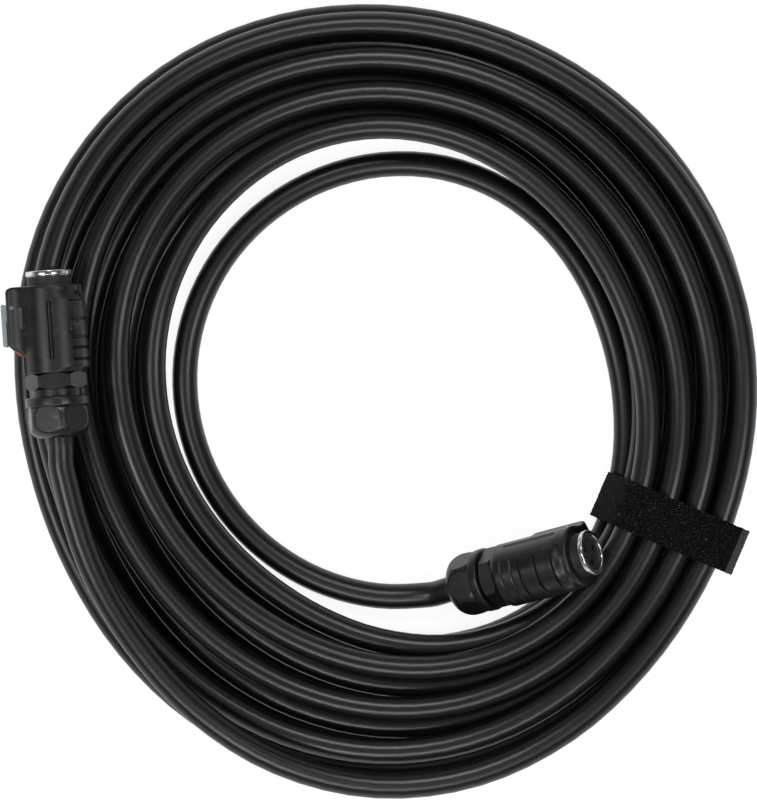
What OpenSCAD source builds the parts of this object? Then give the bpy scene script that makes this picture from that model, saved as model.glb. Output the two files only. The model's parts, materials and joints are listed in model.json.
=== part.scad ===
// Power cord set: a long three-core cable wound into a coil of three spiralling layers, tied with a
// hook-and-loop strap, with a latching round connector on each end. One connector carries pins and
// the other sockets. The coil lies flat on Z = 0.

/* [Cable] */
// Outside diameter of the cable's jacket
cable_d = 13.5; // [12:0.5:13.5]
// Outside diameter of one insulated core
core_d = 4.4; // [3.8:0.1:4.6]
// Diameter of one bare copper conductor
copper_d = 2.8; // [2:0.1:3]
// Room left between two turns that lie on each other
turn_room = 1; // [0.9:0.05:1.1]

/* [Coil] */
// Mean radius of the outermost lane
outer_lane = 201; // [200.5:0.5:210]
// Mean radius of the bundle's innermost lane
inner_lane = 128.5; // [125:0.5:129]
// Mean radius of the first loop, which lies inside the bundle
first_lane = 115; // [113:0.5:116]
// Turns that the first loop takes to reach the bundle
first_turns = 0.77; // [0.75:0.01:0.8]
// Turns that each layer takes across the bundle
layer_turns = 3.74; // [3.6:0.02:3.76]
// How far the outermost lane lies off centre, then its oval and its three-cornered waviness
outer_shape = [3.5, 7, 4.3];
// Directions of those three, in degrees
outer_turned = [87, 98, 21];
// How far the innermost lane lies off centre, then its oval and its three-cornered waviness
inner_shape = [11.5, 8, 2.2];
// Directions of those three, in degrees
inner_turned = [32, -61, -43];
// How far the first loop lies off centre
first_shift = 15; // [13:0.5:16]
// Direction of that shift, in degrees
first_turned = 42; // [38:1:46]
// Share of the free room between neighbouring turns that they wander sideways
wander = 0.2; // [0:0.05:0.3]

/* [Strap] */
// Width of the strap
strap_w = 25; // [15:1:25]
// Thickness of the strap
strap_t = 2; // [1:0.25:2.5]
// Direction of the strap from the coil's middle, in degrees
strap_angle = -23;
// Room between the strap and the turns that it holds
strap_room = 0.4; // [0.3:0.1:1]
// Length of the free tail that stands out past the coil
tail_out = 9; // [3:1:15]

/* [Gland] */
// Length of the gland nut
nut_len = 21.6; // [20:0.2:24]
// Nut across its flats
nut_af = 30; // [29.6:0.2:31]
// Radius of the nut's round front collar
nut_collar_r = 16.8; // [16.5:0.1:17.5]
// Length of that collar
nut_collar_len = 5; // [4:0.5:6]
// Thickness of the nut's rear wall
nut_wall = 4; // [3:0.5:5]
// Hex collar of the gland body across its flats
hex_af = 28.6; // [28.4:0.1:29.5]
// Length of the hex collar
hex_len = 8.5; // [7:0.5:10]
// Radius of the gland thread's crests
thread_r = 13.25; // [13:0.05:13.3]
// Pitch of the gland thread
thread_pitch = 1.5; // [1:0.25:2]
// How far the nut may be unscrewed
nut_travel = 3; // [1.5:0.5:3.5]

/* [Housing] */
// Radius of the round housing
body_r = 16.5; // [16.2:0.1:17]
// Length of the housing
body_len = 46; // [44:1:52]
// Wall of the housing round the gland's spigot
housing_wall = 3.5; // [3.3:0.1:3.7]
// How far the grip stands out opposite the latch
grip_out = 2; // [1:0.25:2.5]
// Depth of the grip's grooves
groove_depth = 0.7; // [0.3:0.1:1]
// Length of the two long side slots
slot_len = 31; // [20:1:33]
// Width of the side slots
slot_w = 1.6; // [1:0.2:2.4]
// Height of the latch hump above the axis
hump_h = 23; // [22.5:0.25:24]
// Width of the latch hump
hump_w = 17; // [16:0.5:19]
// Length of the hump's full height
hump_len = 30; // [29:0.5:31]
// Length of the slope behind the hump
slope_len = 7; // [6:0.5:8]

/* [Nose] */
// Outside radius of the bright ring at the nose
ring_r = 12.1; // [12:0.05:12.2]
// Length of that ring
ring_len = 3.8; // [3:0.2:5]
// Length of the rubber neck behind the ring
neck_len = 3.8; // [3:0.2:5]
// Bore radius of the metal sleeve
sleeve_bore_r = 9.6; // [9.3:0.1:9.8]
// Wall of the metal sleeve inside the housing
sleeve_wall = 1.6; // [1.2:0.1:1.6]

/* [Contacts] */
// Distance of the three contacts from the axis
contact_ring = 5.2; // [4.9:0.1:5.4]
// Radius of a contact pin
pin_r = 1.6; // [1:0.1:1.7]
// Free length of a contact pin
pin_len = 11; // [8:0.5:12]
// Radius of a screw terminal
terminal_r = 3; // [2.7:0.1:3.2]
// Length of a screw terminal
terminal_len = 9; // [8:0.5:10]

/* [Latch] */
// Width of the thumb pad
pad_w = 10.4; // [9:0.2:11]
// Length of the thumb pad
pad_len = 22.4; // [20:0.4:22.4]
// Height of the pad's outer face above the axis
pad_h = 26; // [25.5:0.25:27]
// Thickness of the pad
pad_t = 2.4; // [1.5:0.1:2.5]
// Radius of the hinge pin
hinge_r = 1; // [0.7:0.1:1.1]
// How far the release button goes in
button_travel = 1.5; // [0.8:0.1:1.5]

/* [Places] */
// Place of the pin connector's nut in plan
plug_xy = [-167.7, -19.7];
// Direction in which the pin connector points
plug_heading = 94; // [93:0.5:95]
// Thread left showing on the pin connector
plug_thread = 4; // [3:0.5:5]
// How far the pin connector's nut is turned about its axis
plug_nut_turned = -19; // [-30:1:30]
// Place of the socket connector's nut in plan
socket_xy = [41.2, -100];
// Direction in which the socket connector points
socket_heading = 16; // [15:0.5:17]
// How steeply the socket connector leans on the coil
socket_pitch = 29.5; // [29.5:0.5:31]
// How far the socket connector is rolled about its axis
socket_roll = -65; // [-70:1:-60]
// Thread left showing on the socket connector
socket_thread = 0.6; // [0.4:0.1:1.5]
// Shift of the whole set that puts the connectors' and the strap's box over the origin
set_shift = [0.8, 23.4];

/* [Hidden] */
$fn = 48;
EPS = 0.01;

// Clearances
run = 0.05;         // a turning piece on its shaft
seat = 0.02;        // fixed pieces, one in the other
slide = 0.2;        // a piece that slides or turns past its neighbour
rest_gap = 0.3;     // a piece that lies beside or on another

cable_r = cable_d / 2;

// ---- The coil ----

turn_rings = 24;                        // rings of the tube in one turn
sides = 6;                              // sides of the tube
ring_step = 360 / turn_rings;
flat_cut = cable_d / 10;                // the jacket's underside is cut flat this deep
floor_z = cable_r - flat_cut;           // height of the cable's middle where it lies on the floor
start_angle = strap_angle + ring_step / 2 + 20 * ring_step;
last_ring = 12 * turn_rings + 5;
out_1 = first_turns + layer_turns;      // turns wound where the first layer reaches the outside
in_2 = out_1 + layer_turns;             // where the second layer is back inside
free_from = in_2 + layer_turns - 0.05;  // where the free end leaves the outermost lane
free_over = 0.37;                       // turns in which it does so
free_in = 0.205;                        // share of the bundle's width by which it moves in
rounding = 0.25;                        // turns to each side of a reversal in which it is rounded
lap = cable_d + turn_room;              // distance kept between the middles of two turns
strap_rise = strap_t + flat_cut + 0.45; // how far the turns are lifted where the strap is under them

function smooth(x) = let (c = min(1, max(0, x))) c * c * (3 - 2 * c);

function lane_shape(mean, size, turned, a) =
    mean + size[0] * cos(a - turned[0])
         + size[1] * cos(2 * (a - turned[1]))
         + size[2] * cos(3 * (a - turned[2]));

function outermost(a) = lane_shape(outer_lane, outer_shape, outer_turned, a);
function innermost(a) = lane_shape(inner_lane, inner_shape, inner_turned, a);

// Share of the way across the bundle after t turns: out, in and out again at a steady rate
function reversal(t, turn, side) =
    side * (0.5 - ((t - turn) * (t - turn) / (2 * rounding) + rounding / 2) / layer_turns) + 0.5;
function steady(t) =
    t < out_1 ? (t - first_turns) / layer_turns :
    t < in_2 ? (in_2 - t) / layer_turns : (t - in_2) / layer_turns;
function across(t) =
    abs(t - out_1) < rounding ? reversal(t, out_1, 1) :
    abs(t - in_2) < rounding ? reversal(t, in_2, -1) :
    t > free_from ? steady(free_from) - free_in * smooth((t - free_from) / free_over) : steady(t);

function ring_angle(i) = start_angle - i * ring_step;
function layer_of(i) = let (t = i / turn_rings) t < out_1 ? 0 : t < in_2 ? 1 : 2;

wander_step = 700;              // how far the wandering's wave goes on in a turn, in degrees
wander_from = 42;
// Radius of ring i in plan
function lane(i) =
    let (
        t = i / turn_rings,
        a = ring_angle(i),
        width = outermost(a) - innermost(a),
        spare = max(0, width / layer_turns - lap - 0.5),
        aside = t < 1 ? 0 : wander * spare * sin(wander_step * t + wander_from),
        bundle = innermost(a) + across(t) * width + aside,
        first = first_lane + first_shift * cos(a - first_turned)
    )
    first + (bundle - first) * smooth((t - 0.45) / 0.5);
lanes = [for (i = [0 : last_ring]) lane(i)];

// How far a turn is lifted by one that lies x beside it, with a gentler climb onto another layer
nestle = 0.8;
nestle_h = sqrt(1 - nestle * nestle);
function lift(x, climbs) =
    climbs && x > nestle * lap ? max(0, nestle_h * lap - (x - nestle * lap) * nestle / nestle_h) :
    x < lap ? sqrt(lap * lap - x * x) : 0;

function strap_lift(a) =
    let (off = abs((a - strap_angle + 36180) % 360 - 180))
    strap_rise * (1 - smooth((off - ring_step / 2) / 35));

// Height of ring i, which settles on the turns wound before it
function settle(i, below) = max(concat(
    [floor_z + strap_lift(ring_angle(i))],
    [for (j = [i - turn_rings : -turn_rings : 0])
        let (up = lift(abs(lanes[i] - lanes[j]), layer_of(i) != layer_of(j)))
        if (up > 0) below[j] + up]
));
function settled(i, below) = i > last_ring ? below : settled(i + 1, concat(below, [settle(i, below)]));
laid = settled(0, []);
eased = [for (i = [0 : last_ring])
    i == 0 || i == last_ring ? laid[i] : max(laid[i], (laid[i - 1] + 2 * laid[i] + laid[i + 1]) / 4)];

// ---- Where the connectors lie ----

// Each is [place of the nut's rear face, heading, pitch, roll, thread showing]
plug_rests_on = max([for (k = [1 : 4]) eased[last_ring - turn_rings + k]]) + cable_r;
nut_sweep_r = nut_af / 2 / cos(30);
socket_low = nut_sweep_r * cos(socket_pitch) + nut_travel * sin(socket_pitch);
plug = [[plug_xy[0], plug_xy[1], plug_rests_on + body_r + rest_gap], plug_heading, 0, 0, plug_thread];
socket = [[socket_xy[0], socket_xy[1], socket_low + rest_gap],
    socket_heading, socket_pitch, socket_roll, socket_thread];

function ahead(end) = [cos(end[2]) * cos(end[1]), cos(end[2]) * sin(end[1]), sin(end[2])];
function on_axis(end, s) = end[0] + s * ahead(end);

// Puts a connector's own frame in place: Z along its axis to the nose and Y to its latch
module at(end, up = 0)
    translate([set_shift[0], set_shift[1], 0])
        translate(end[0]) rotate([0, 0, end[1]]) rotate([0, -end[2], 0]) rotate([end[3], 0, 0])
            rotate([0, 90, 0]) translate([0, 0, up]) children();

// ---- The cable's route ----

stub_out = nut_travel + 1;      // length of jacket behind the nut that belongs to the cable end
free_rise = 9;                  // rings in which the free end climbs to its connector
function free_height(i) =
    let (climb = smooth((i - last_ring + free_rise - 1) / free_rise))
    eased[i] + max(0, plug[0][2] - eased[i]) * climb;
route = concat(
    [on_axis(socket, -stub_out), on_axis(socket, -stub_out - cable_d)],
    [for (i = [1 : last_ring])
        [lanes[i] * cos(ring_angle(i)), lanes[i] * sin(ring_angle(i)), free_height(i)]],
    [on_axis(plug, -stub_out - cable_d), on_axis(plug, -stub_out)]
);
steps = len(route) - 1;

// Least gap of the cable to itself, from each ring to the stretches of the other turns near it
function to_stretch(p, a, b) =
    let (along = max(0, min(1, (p - a) * (b - a) / ((b - a) * (b - a)))))
    norm(p - a - along * (b - a));
gaps = [for (i = [0 : steps]) for (j = [i + turn_rings - 2 : turn_rings : steps - 1])
    for (k = [j : min(j + 3, steps - 1)]) to_stretch(route[i], route[k], route[k + 1]) - cable_d];
lengths = [for (i = [0 : steps - 1]) norm(route[i + 1] - route[i])];
function total(v, i = 0, sum = 0) = i == len(v) ? sum : total(v, i + 1, sum + v[i]);
echo(least_gap_between_turns = min(gaps));
echo(length_of_cable_outside_the_connectors = total(lengths));

// A tube swept along points, or from one of them to another, with its rings square to the path and
// none of it below a lowest z
function heading_at(p, i) =
    let (
        before = i > 0 ? (p[i] - p[i - 1]) / norm(p[i] - p[i - 1]) : [0, 0, 0],
        after = i < len(p) - 1 ? (p[i + 1] - p[i]) / norm(p[i + 1] - p[i]) : [0, 0, 0],
        both = before + after
    )
    both / norm(both);
function tube_ring(p, i, r, up, lowest) =
    let (
        ahead = heading_at(p, i),
        beside = cross(ahead, up) / norm(cross(ahead, up)),
        over = cross(beside, ahead)
    )
    [for (k = [0 : sides - 1])
        let (q = p[i] + r * (cos(360 * k / sides) * beside + sin(360 * k / sides) * over))
        [q[0], q[1], max(lowest, q[2])]];
module tube(p, r, up = [0, 0, 1], lowest = 0, from = 0, to = undef) {
    end = is_undef(to) ? len(p) - 1 : to;
    n = end - from + 1;
    points = [for (i = [from : end]) each tube_ring(p, i, r, up, lowest)];
    walls = [for (i = [0 : n - 2]) for (k = [0 : sides - 1])
        let (a = i * sides + k, b = i * sides + (k + 1) % sides)
        each [[a, b, b + sides], [a, b + sides, a + sides]]];
    near_end = [for (k = [1 : sides - 2]) [0, k + 1, k]];
    last = (n - 1) * sides;
    far_end = [for (k = [1 : sides - 2]) [last, last + k, last + k + 1]];
    polyhedron(points = points, faces = concat(walls, near_end, far_end), convexity = 12);
}

free_end_from = steps - free_rise - 1;      // ring at which the free end leaves the coil
module power_cable()
    color("#26282a")
    translate([set_shift[0], set_shift[1], 0]) tube(route, cable_r, to = free_end_from);

module cable_free_end()
    color("#26282a")
    translate([set_shift[0], set_shift[1], 0]) tube(route, cable_r, from = free_end_from);

// ---- The strap ----

// Middles of the turns at the strap's two edges and between them, as [radius, height], on the chords
// and on the arcs
under_strap = [for (i = [0 : last_ring - 1])
    let (
        off = (ring_angle(i) - ring_step / 2 - strap_angle) % 360,
        half = strap_w / 2 / ((lanes[i] + lanes[i + 1]) * sin(ring_step / 2))
    )
    if (abs(off) < 1 || abs(off) > 359)
        for (share = [0.5 - half, 0.5, 0.5 + half]) for (bow = [cos(ring_step / 2), 1])
            [(lanes[i] * (1 - share) + lanes[i + 1] * share) * bow,
             eased[i] * (1 - share) + eased[i + 1] * share]];
strap_top = max([for (c = under_strap) c[1]]) + cable_r + strap_room;
strap_far = max([for (c = under_strap) c[0]]) + cable_r + strap_room;
strap_near = min([for (c = under_strap) c[0]]) - cable_r - strap_room;
strap_mid = (strap_near + strap_far) / 2;
strap_flat = 36;                // how much of the wrap's top is flat, under the free end
flat_back = 12;
flat_from = strap_mid - flat_back;      // where that flat starts

module bundle_outline(grow)
    offset(r = grow)
        hull() {
            for (c = under_strap)
                translate(c) circle(r = cable_r + strap_room, $fn = 32);
            translate([flat_from, strap_top - strap_t]) square([strap_flat, strap_t]);
        }

module tie_strap()
    color("#1b1b1d")
    translate([set_shift[0], set_shift[1], 0])
        rotate([0, 0, strap_angle]) rotate([90, 0, 0])
            linear_extrude(strap_w, center = true) {
                difference() {
                    bundle_outline(strap_t);
                    bundle_outline(0);
                }
                // the free end lies over the wrap and stands out past it
                translate([strap_mid, strap_top + strap_t - EPS])
                    square([strap_far - strap_mid + strap_t + tail_out, strap_t]);
            }

// ---- The gland, from the nut's rear face at z = 0 ----

nut_r = nut_af / 2 / cos(30);
cable_hole_r = cable_r + 0.55;
nut_cavity_r = thread_r - 1.6;
cage_ring_len = 2.5;
cage_ring_r = nut_cavity_r - slide;
cage_r = cable_r + slide;
cage_len = 9.8;
cage_end = nut_wall + cage_len;
gland_bore_r = thread_r - 3.75;
finger_r = gland_bore_r - slide;
nut_bore_from = nut_wall + cage_ring_len + 0.8;
thread_len = nut_len - nut_bore_from - 0.3;     // as long as the tightened nut's threaded bore

module ring(outer_r, inner_r, len, from = 0)
    translate([0, 0, from])
        difference() {
            cylinder(r = outer_r, h = len);
            translate([0, 0, -EPS]) cylinder(r = inner_r, h = len + 2 * EPS);
        }

// A hexagon across its flats, turned so that two corners lie along Y
module hexagon(af, len, from = 0)
    translate([0, 0, from]) rotate([0, 0, 30]) cylinder(r = af / 2 / cos(30), h = len, $fn = 6);

nut_rim = 2.2;                  // flat rim round the nut's hole
dome_len = 9;                   // length of the nut's domed rear, which rounds off its six corners
collar_edge = 0.8;              // chamfer of the nut's collar
module gland_nut()
    color("#202123")
    difference() {
        union() {
            intersection() {
                hexagon(nut_af, nut_len - collar_edge);
                rotate_extrude()
                    polygon(concat(
                        [[0, 0]],
                        [for (a = [0 : 15 : 90])
                            [cable_hole_r + nut_rim + (nut_r - cable_hole_r - nut_rim) * sin(a),
                                dome_len * (1 - cos(a))]],
                        [[nut_r, nut_len], [0, nut_len]]));
            }
            rotate_extrude()
                translate([0, nut_len - nut_collar_len])
                    polygon([[0, 0], [nut_collar_r - collar_edge, 0], [nut_collar_r, collar_edge],
                        [nut_collar_r, nut_collar_len - collar_edge],
                        [nut_collar_r - collar_edge, nut_collar_len], [0, nut_collar_len]]);
        }
        translate([0, 0, -1]) cylinder(r = cable_hole_r, h = nut_wall + 2);
        translate([0, 0, nut_wall]) cylinder(r = nut_cavity_r, h = nut_len);
        translate([0, 0, nut_bore_from]) cylinder(r = thread_r + run, h = nut_len);
    }

finger_slots = 6;
finger_slot = 1.2;
module clamp_cage()
    color("#c9c6bd")
    difference() {
        union() {
            ring(cage_ring_r, cage_r, cage_ring_len, nut_wall + run);
            ring(finger_r, cage_r, cage_len - 1, nut_wall + 1);
        }
        for (k = [0 : finger_slots - 1])
            rotate([0, 0, k * 360 / finger_slots])
                translate([cage_r - 1, -finger_slot / 2, nut_wall + cage_ring_len + 1])
                    cube([finger_r, finger_slot, cage_len]);
    }

// Distance from the nut's rear face to the hex collar, to the housing's rear face and to its front
function hex_at(end) = nut_len + end[4];
function body_at(end) = hex_at(end) + hex_len;
spigot_len = 9;
spigot_r = body_r - housing_wall;
spigot_bore_r = cable_r + 0.45;
shoulder_in = 1;                // how far inside the hex collar the grommet's shoulder lies
seal_at = 3;                    // from the housing's rear face to the O-ring's groove
seal_len = 1.9;
seal_depth = 1;
thread_depth = 0.6;
hex_edge = 1.4;                 // length of the hex collar's chamfers
hex_corner_r = hex_af / 2 / cos(30) - 0.35;

module gland_body(end)
    color("#1d1e20")
    difference() {
        union() {
            ring(thread_r - thread_depth, gland_bore_r, thread_len, hex_at(end) - thread_len);
            // crests of the thread
            for (z = [thread_pitch / 2 : thread_pitch : thread_len - thread_pitch / 2])
                ring(thread_r, gland_bore_r, thread_pitch / 2, hex_at(end) - z - thread_pitch / 4);
            intersection() {
                hexagon(hex_af, hex_len, hex_at(end));
                rotate_extrude()
                    translate([0, hex_at(end)])
                        polygon([[0, 0], [hex_af / 2, 0], [hex_corner_r, hex_edge],
                            [hex_corner_r, hex_len - hex_edge], [hex_af / 2, hex_len], [0, hex_len]]);
            }
            translate([0, 0, body_at(end) - EPS]) cylinder(r = spigot_r, h = spigot_len + EPS);
        }
        translate([0, 0, hex_at(end) - thread_len - 1])
            cylinder(r = gland_bore_r, h = thread_len + 1 + shoulder_in);
        cylinder(r = spigot_bore_r, h = body_at(end) + spigot_len + 1);
        ring(spigot_r + 1, spigot_r - seal_depth, seal_len, body_at(end) + seal_at);
    }

module body_seal(end)
    color("#8f3b2c")
    translate([0, 0, body_at(end) + seal_at + seal_len / 2])
        rotate_extrude()
            translate([spigot_r + (seat - seal_depth) / 2, 0]) circle(r = (seal_depth - seat) / 2);

module grommet(end)
    color("#3a3b3d")
    ring(gland_bore_r - run, cable_r + seat, hex_at(end) + shoulder_in - cage_end - 3 * run,
        cage_end + 2 * run);

module cable_end(end)
    color("#26282a")
    translate([0, 0, -stub_out]) cylinder(r = cable_r, h = body_at(end) + spigot_len - 1 + stub_out);

// ---- The housing, from its rear face at z = 0 ----

chamber_r = spigot_r - 0.6;     // wiring chamber
neck_cover = 0.7;               // wall of the rubber neck
sleeve_r = sleeve_bore_r + sleeve_wall;
sleeve_in = 14;                 // depth of the metal sleeve in the housing
flange_len = 4;                 // flange of the insert behind the sleeve
wall_from = body_len - sleeve_in;
grip_r = body_r - groove_depth;

// Latch: places in the plane of the latch, as height above the axis and distance from the housing's rear
pad_front = body_len - 8.6;
pad_rear = pad_front - pad_len;
hinge_y = hump_h - 3;
hinge_z = pad_front - 2.2;
pocket_floor = chamber_r + 2.8;
pocket_w = pad_w + 1.1;
tunnel_top = hinge_y - 0.2;
hook_low = sleeve_r + neck_cover + 1.2;
hump_rear = body_len - hump_len;
hump_round = 3;                 // rounding of the hump's front corner
hump_root = 4;                  // height above the axis from which the hump is drawn
lever_room = 1.2;               // room in the pocket behind the thumb pad
tunnel_room = 0.4;              // room in the tunnel under the hook
rear_edge = 0.6;                // chamfers of the housing's ends
front_edge = 1.2;
grip_from = 1;                  // the grip's ends, from the housing's
grip_short = 5;
groove_end = 2;                 // how far below the grip's middle its grooves end
slot_from = 8;                  // the side slots and the cheeks' recesses, from the front face
recess_from = 10;
recess = [0.4, 4.4, 11];        // depth, height and length of a recess
slope_foot = hump_rear - slope_len;
button_w = 8;
button_proud = 1;
button_from = pad_rear - 1.3;
button_len = 4;

function slope_h(z) =
    z > hump_rear ? hump_h : body_r - 0.5 + (hump_h - body_r + 0.5) * (z - slope_foot) / slope_len;

// Turns an outline drawn as [height above the axis, distance from the rear] into a plate across X
module across_x(width)
    translate([width / 2, 0, 0]) rotate([0, -90, 0]) linear_extrude(width)
        mirror([1, -1]) children();

module hump()
    across_x(hump_w)
        difference() {
            polygon([[hump_root, slope_foot - 2], [body_r - 1.5, slope_foot - 2],
                [slope_h(slope_foot), slope_foot], [hump_h, hump_rear], [hump_h, body_len],
                [hump_root, body_len]]);
            // rounded front corner
            translate([hump_h - hump_round, body_len - hump_round])
                difference() {
                    square(hump_round + 1);
                    circle(r = hump_round);
                }
        }

// Cuts a groove round the lower half of the grip
module groove(from, len)
    difference() {
        translate([-2 * body_r, -2 * body_r - grip_out, from])
            cube([4 * body_r, 2 * body_r - groove_end, len]);
        translate([0, -grip_out, from - 1]) cylinder(r = grip_r, h = len + 2);
    }

module round_body()
    rotate_extrude()
        polygon([[0, 0], [body_r - rear_edge, 0], [body_r, rear_edge], [body_r, body_len - front_edge],
            [body_r - front_edge, body_len], [0, body_len]]);

// Grooves of the grip, as distance from the front and length
grip_grooves = [[7.5, 2.5], [18, 1], [27, 3], [32.5, 5], [39, 4.5]];

module housing()
    color("#232427")
    difference() {
        union() {
            round_body();
            // the grip bulges opposite the latch
            translate([0, -grip_out, grip_from])
                cylinder(r = body_r, h = body_len - grip_from - grip_short);
            hump();
        }
        for (g = grip_grooves) groove(body_len - g[0] - g[1], g[1]);
        for (s = [-1, 1])
            translate([s * body_r - 1, -slot_w / 2, body_len - slot_from - slot_len])
                cube([2, slot_w, slot_len]);
        // bare recess on each cheek
        for (s = [-1, 1])
            translate([s * hump_w / 2 - recess[0], body_r - 0.9, body_len - recess_from - recess[2]])
                cube([2 * recess[0], recess[1], recess[2]]);
        // bores: gland seat, wiring chamber and sleeve seat
        translate([0, 0, -1]) cylinder(r = spigot_r + seat, h = 1 + spigot_len + rest_gap);
        cylinder(r = chamber_r, h = wall_from);
        cylinder(r = sleeve_r + seat, h = body_len + 1);
        // pocket of the latch, its tunnel through the front face and the button's notch
        across_x(pocket_w) {
            translate([pocket_floor, pad_rear - lever_room])
                square([hump_h, pad_len + lever_room + tunnel_room]);
            translate([hook_low - tunnel_room, hinge_z + 2])
                square([tunnel_top - hook_low + tunnel_room, body_len]);
        }
        across_x(button_w + 2 * slide)
            translate([pocket_floor, button_from - button_len - slide])
                square([hump_h, button_len + 2 * slide + lever_room]);
        translate([-hump_w, hinge_y, hinge_z]) rotate([0, 90, 0])
            cylinder(r = hinge_r + seat, h = 2 * hump_w);
    }

ear_t = 2.2;
module latch_lever()
    color("#c9d6db")
    difference() {
        union() {
            // thumb pad, rounded at both ends
            across_x(pad_w) {
                for (z = [pad_front - pad_t / 2, pad_rear + pad_t / 2])
                    translate([pad_h - pad_t / 2, z]) circle(r = pad_t / 2);
                translate([pad_h - pad_t, pad_rear + pad_t / 2]) square([pad_t, pad_len - pad_t]);
            }
            // two ears from the pad down past the pin to the hook
            for (s = [-1, 1])
                translate([s * (pad_w - ear_t) / 2, 0, 0])
                    across_x(ear_t) {
                        translate([hinge_y, hinge_z]) circle(r = hinge_r + 1.5);
                        polygon([[pad_h - pad_t / 2, pad_front - 1], [pad_h - pad_t / 2, pad_front - 12],
                            [hinge_y + 1, hinge_z - 2.4], [hinge_y - 2.4, hinge_z - 1],
                            [hook_low + 2, body_len - 7.4], [hook_low + 2, body_len - 0.6],
                            [hook_low + 3.6, body_len - 0.6], [hinge_y - 1, hinge_z + 2.2]]);
                    }
            // hook bar across the front
            across_x(pad_w)
                polygon([[hook_low, body_len - 2.4], [hook_low, body_len - 0.6],
                    [hook_low + 3.6, body_len - 0.6], [hook_low + 3.6, body_len - 3],
                    [hook_low + 2, body_len - 3.4]]);
        }
        translate([-hump_w, hinge_y, hinge_z]) rotate([0, 90, 0])
            cylinder(r = hinge_r + run, h = 2 * hump_w);
    }

module latch_pin()
    color("#d6dde0")
    translate([-hump_w / 2 + 0.2, hinge_y, hinge_z]) rotate([0, 90, 0])
        cylinder(r = hinge_r, h = hump_w - 0.4);

spring_wire = 0.6;
spring_pitch = 1.1;
spring_from = 195;              // where the lower leg leaves the coil, in degrees
spring_turn = 4 * 360 + 165;    // degrees that the wire turns round the pin
spring_rings = 36;
leg_len = 8;
// Torsion spring round the pin, with one leg on the pocket's floor and one under the pad
module latch_spring() {
    r = hinge_r + 0.35 + spring_wire / 2;
    floor_y = pocket_floor - hinge_y + seat + spring_wire / 2;
    wide = spring_pitch * spring_turn / 360;
    coil = [for (i = [0 : spring_rings])
        let (a = spring_from + spring_turn * i / spring_rings)
        [wide * (i / spring_rings - 0.5), r * cos(a), -r * sin(a)]];
    color("#9a9c9e")
        translate([0, hinge_y, hinge_z])
            tube(concat([[-wide / 2, floor_y, -leg_len]], coil, [[wide / 2, r, -leg_len / 2]]),
                spring_wire / 2, [1, 0, 0.02], -leg_len - 1);
}

module release_button()
    color("#c4483c")
    across_x(button_w)
        polygon([[pocket_floor + button_travel + slide, button_from],
            [slope_h(button_from) + button_proud, button_from],
            [slope_h(button_from - button_len) + button_proud, button_from - button_len],
            [pocket_floor + button_travel + slide, button_from - button_len]]);

module front_ring()
    color("#c8cdd0")
    difference() {
        union() {
            translate([0, 0, wall_from]) cylinder(r = sleeve_r, h = sleeve_in + neck_len);
            translate([0, 0, body_len + neck_len])
                rotate_extrude()
                    polygon([[0, 0], [ring_r, 0], [ring_r, ring_len - 0.5], [ring_r - 0.5, ring_len],
                        [0, ring_len]]);
        }
        translate([0, 0, wall_from - 1]) cylinder(r = sleeve_bore_r, h = body_len + neck_len);
    }

module nose_seal()
    color("#1a1a1b")
    ring(sleeve_r + neck_cover, sleeve_r + seat, neck_len - 2 * run, body_len + run);

// ---- Insert, contacts and cores, on the housing's scale ----

contact_r = 2.1;
insert_from = wall_from - flange_len;
terminal_from = insert_from - terminal_len;
pin_tip = 1;                    // length of a pin's tapered tip
pin_in = 2.6;                   // how far the pins' tips lie inside the nose
pin_face = body_len + neck_len + ring_len - pin_in - pin_len;   // face that the pins stand on
face_in = 1.5;                  // how far the socket's face lies inside the nose
socket_face = body_len + neck_len + ring_len - face_in;
contact_in = 0.5;               // how far the sockets' ends lie under that face
socket_depth = pin_len + 3;

module three() for (k = [0 : 2]) rotate([0, 0, 120 * k]) translate([0, contact_ring, 0]) children();

module insert(face)
    color("#151617")
    difference() {
        union() {
            translate([0, 0, insert_from]) cylinder(r = sleeve_bore_r - seat, h = face - insert_from);
            translate([0, 0, insert_from]) cylinder(r = chamber_r - run, h = flange_len - run);
        }
        three() translate([0, 0, insert_from - 1]) cylinder(r = contact_r + seat, h = 2 * body_len);
    }

// Screw terminal behind the insert, with its conductor hole and screw hole
screw_r = 1.2;
module terminal()
    difference() {
        translate([0, 0, terminal_from]) cylinder(r = terminal_r, h = terminal_len - seat);
        translate([0, 0, terminal_from - 1]) cylinder(r = copper_d / 2 + seat, h = terminal_len - 1);
        translate([0, 0, terminal_from + terminal_len / 2]) rotate([-90, 0, 0])
            cylinder(r = screw_r + seat, h = terminal_r + 1);
    }

module plug_contacts()
    color("#c9a94b")
    three() {
        terminal();
        translate([0, 0, insert_from - 1]) cylinder(r = contact_r, h = pin_face - insert_from + 1);
        translate([0, 0, pin_face - 1])
            rotate_extrude()
                polygon([[0, 0], [pin_r, 0], [pin_r, pin_len - pin_tip + 1],
                    [pin_r - pin_tip / 2, pin_len + 1], [0, pin_len + 1]]);
    }

module socket_contacts()
    color("#c9a94b")
    three() {
        terminal();
        difference() {
            translate([0, 0, insert_from - 1])
                cylinder(r = contact_r, h = socket_face - contact_in - insert_from + 1);
            translate([0, 0, socket_face - contact_in - socket_depth])
                cylinder(r = pin_r + run, h = 2 * socket_depth);
        }
    }

module terminal_screws()
    color("#b9b9b4")
    three()
        translate([0, 0, terminal_from + terminal_len / 2]) rotate([-90, 0, 0])
            translate([0, 0, copper_d / 2 + 0.1])
                difference() {
                    cylinder(r = screw_r, h = terminal_r - copper_d / 2 + 0.6);
                    translate([-2, -0.25, terminal_r - copper_d / 2 - 0.1]) cube([4, 0.5, 2]);
                }

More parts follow.
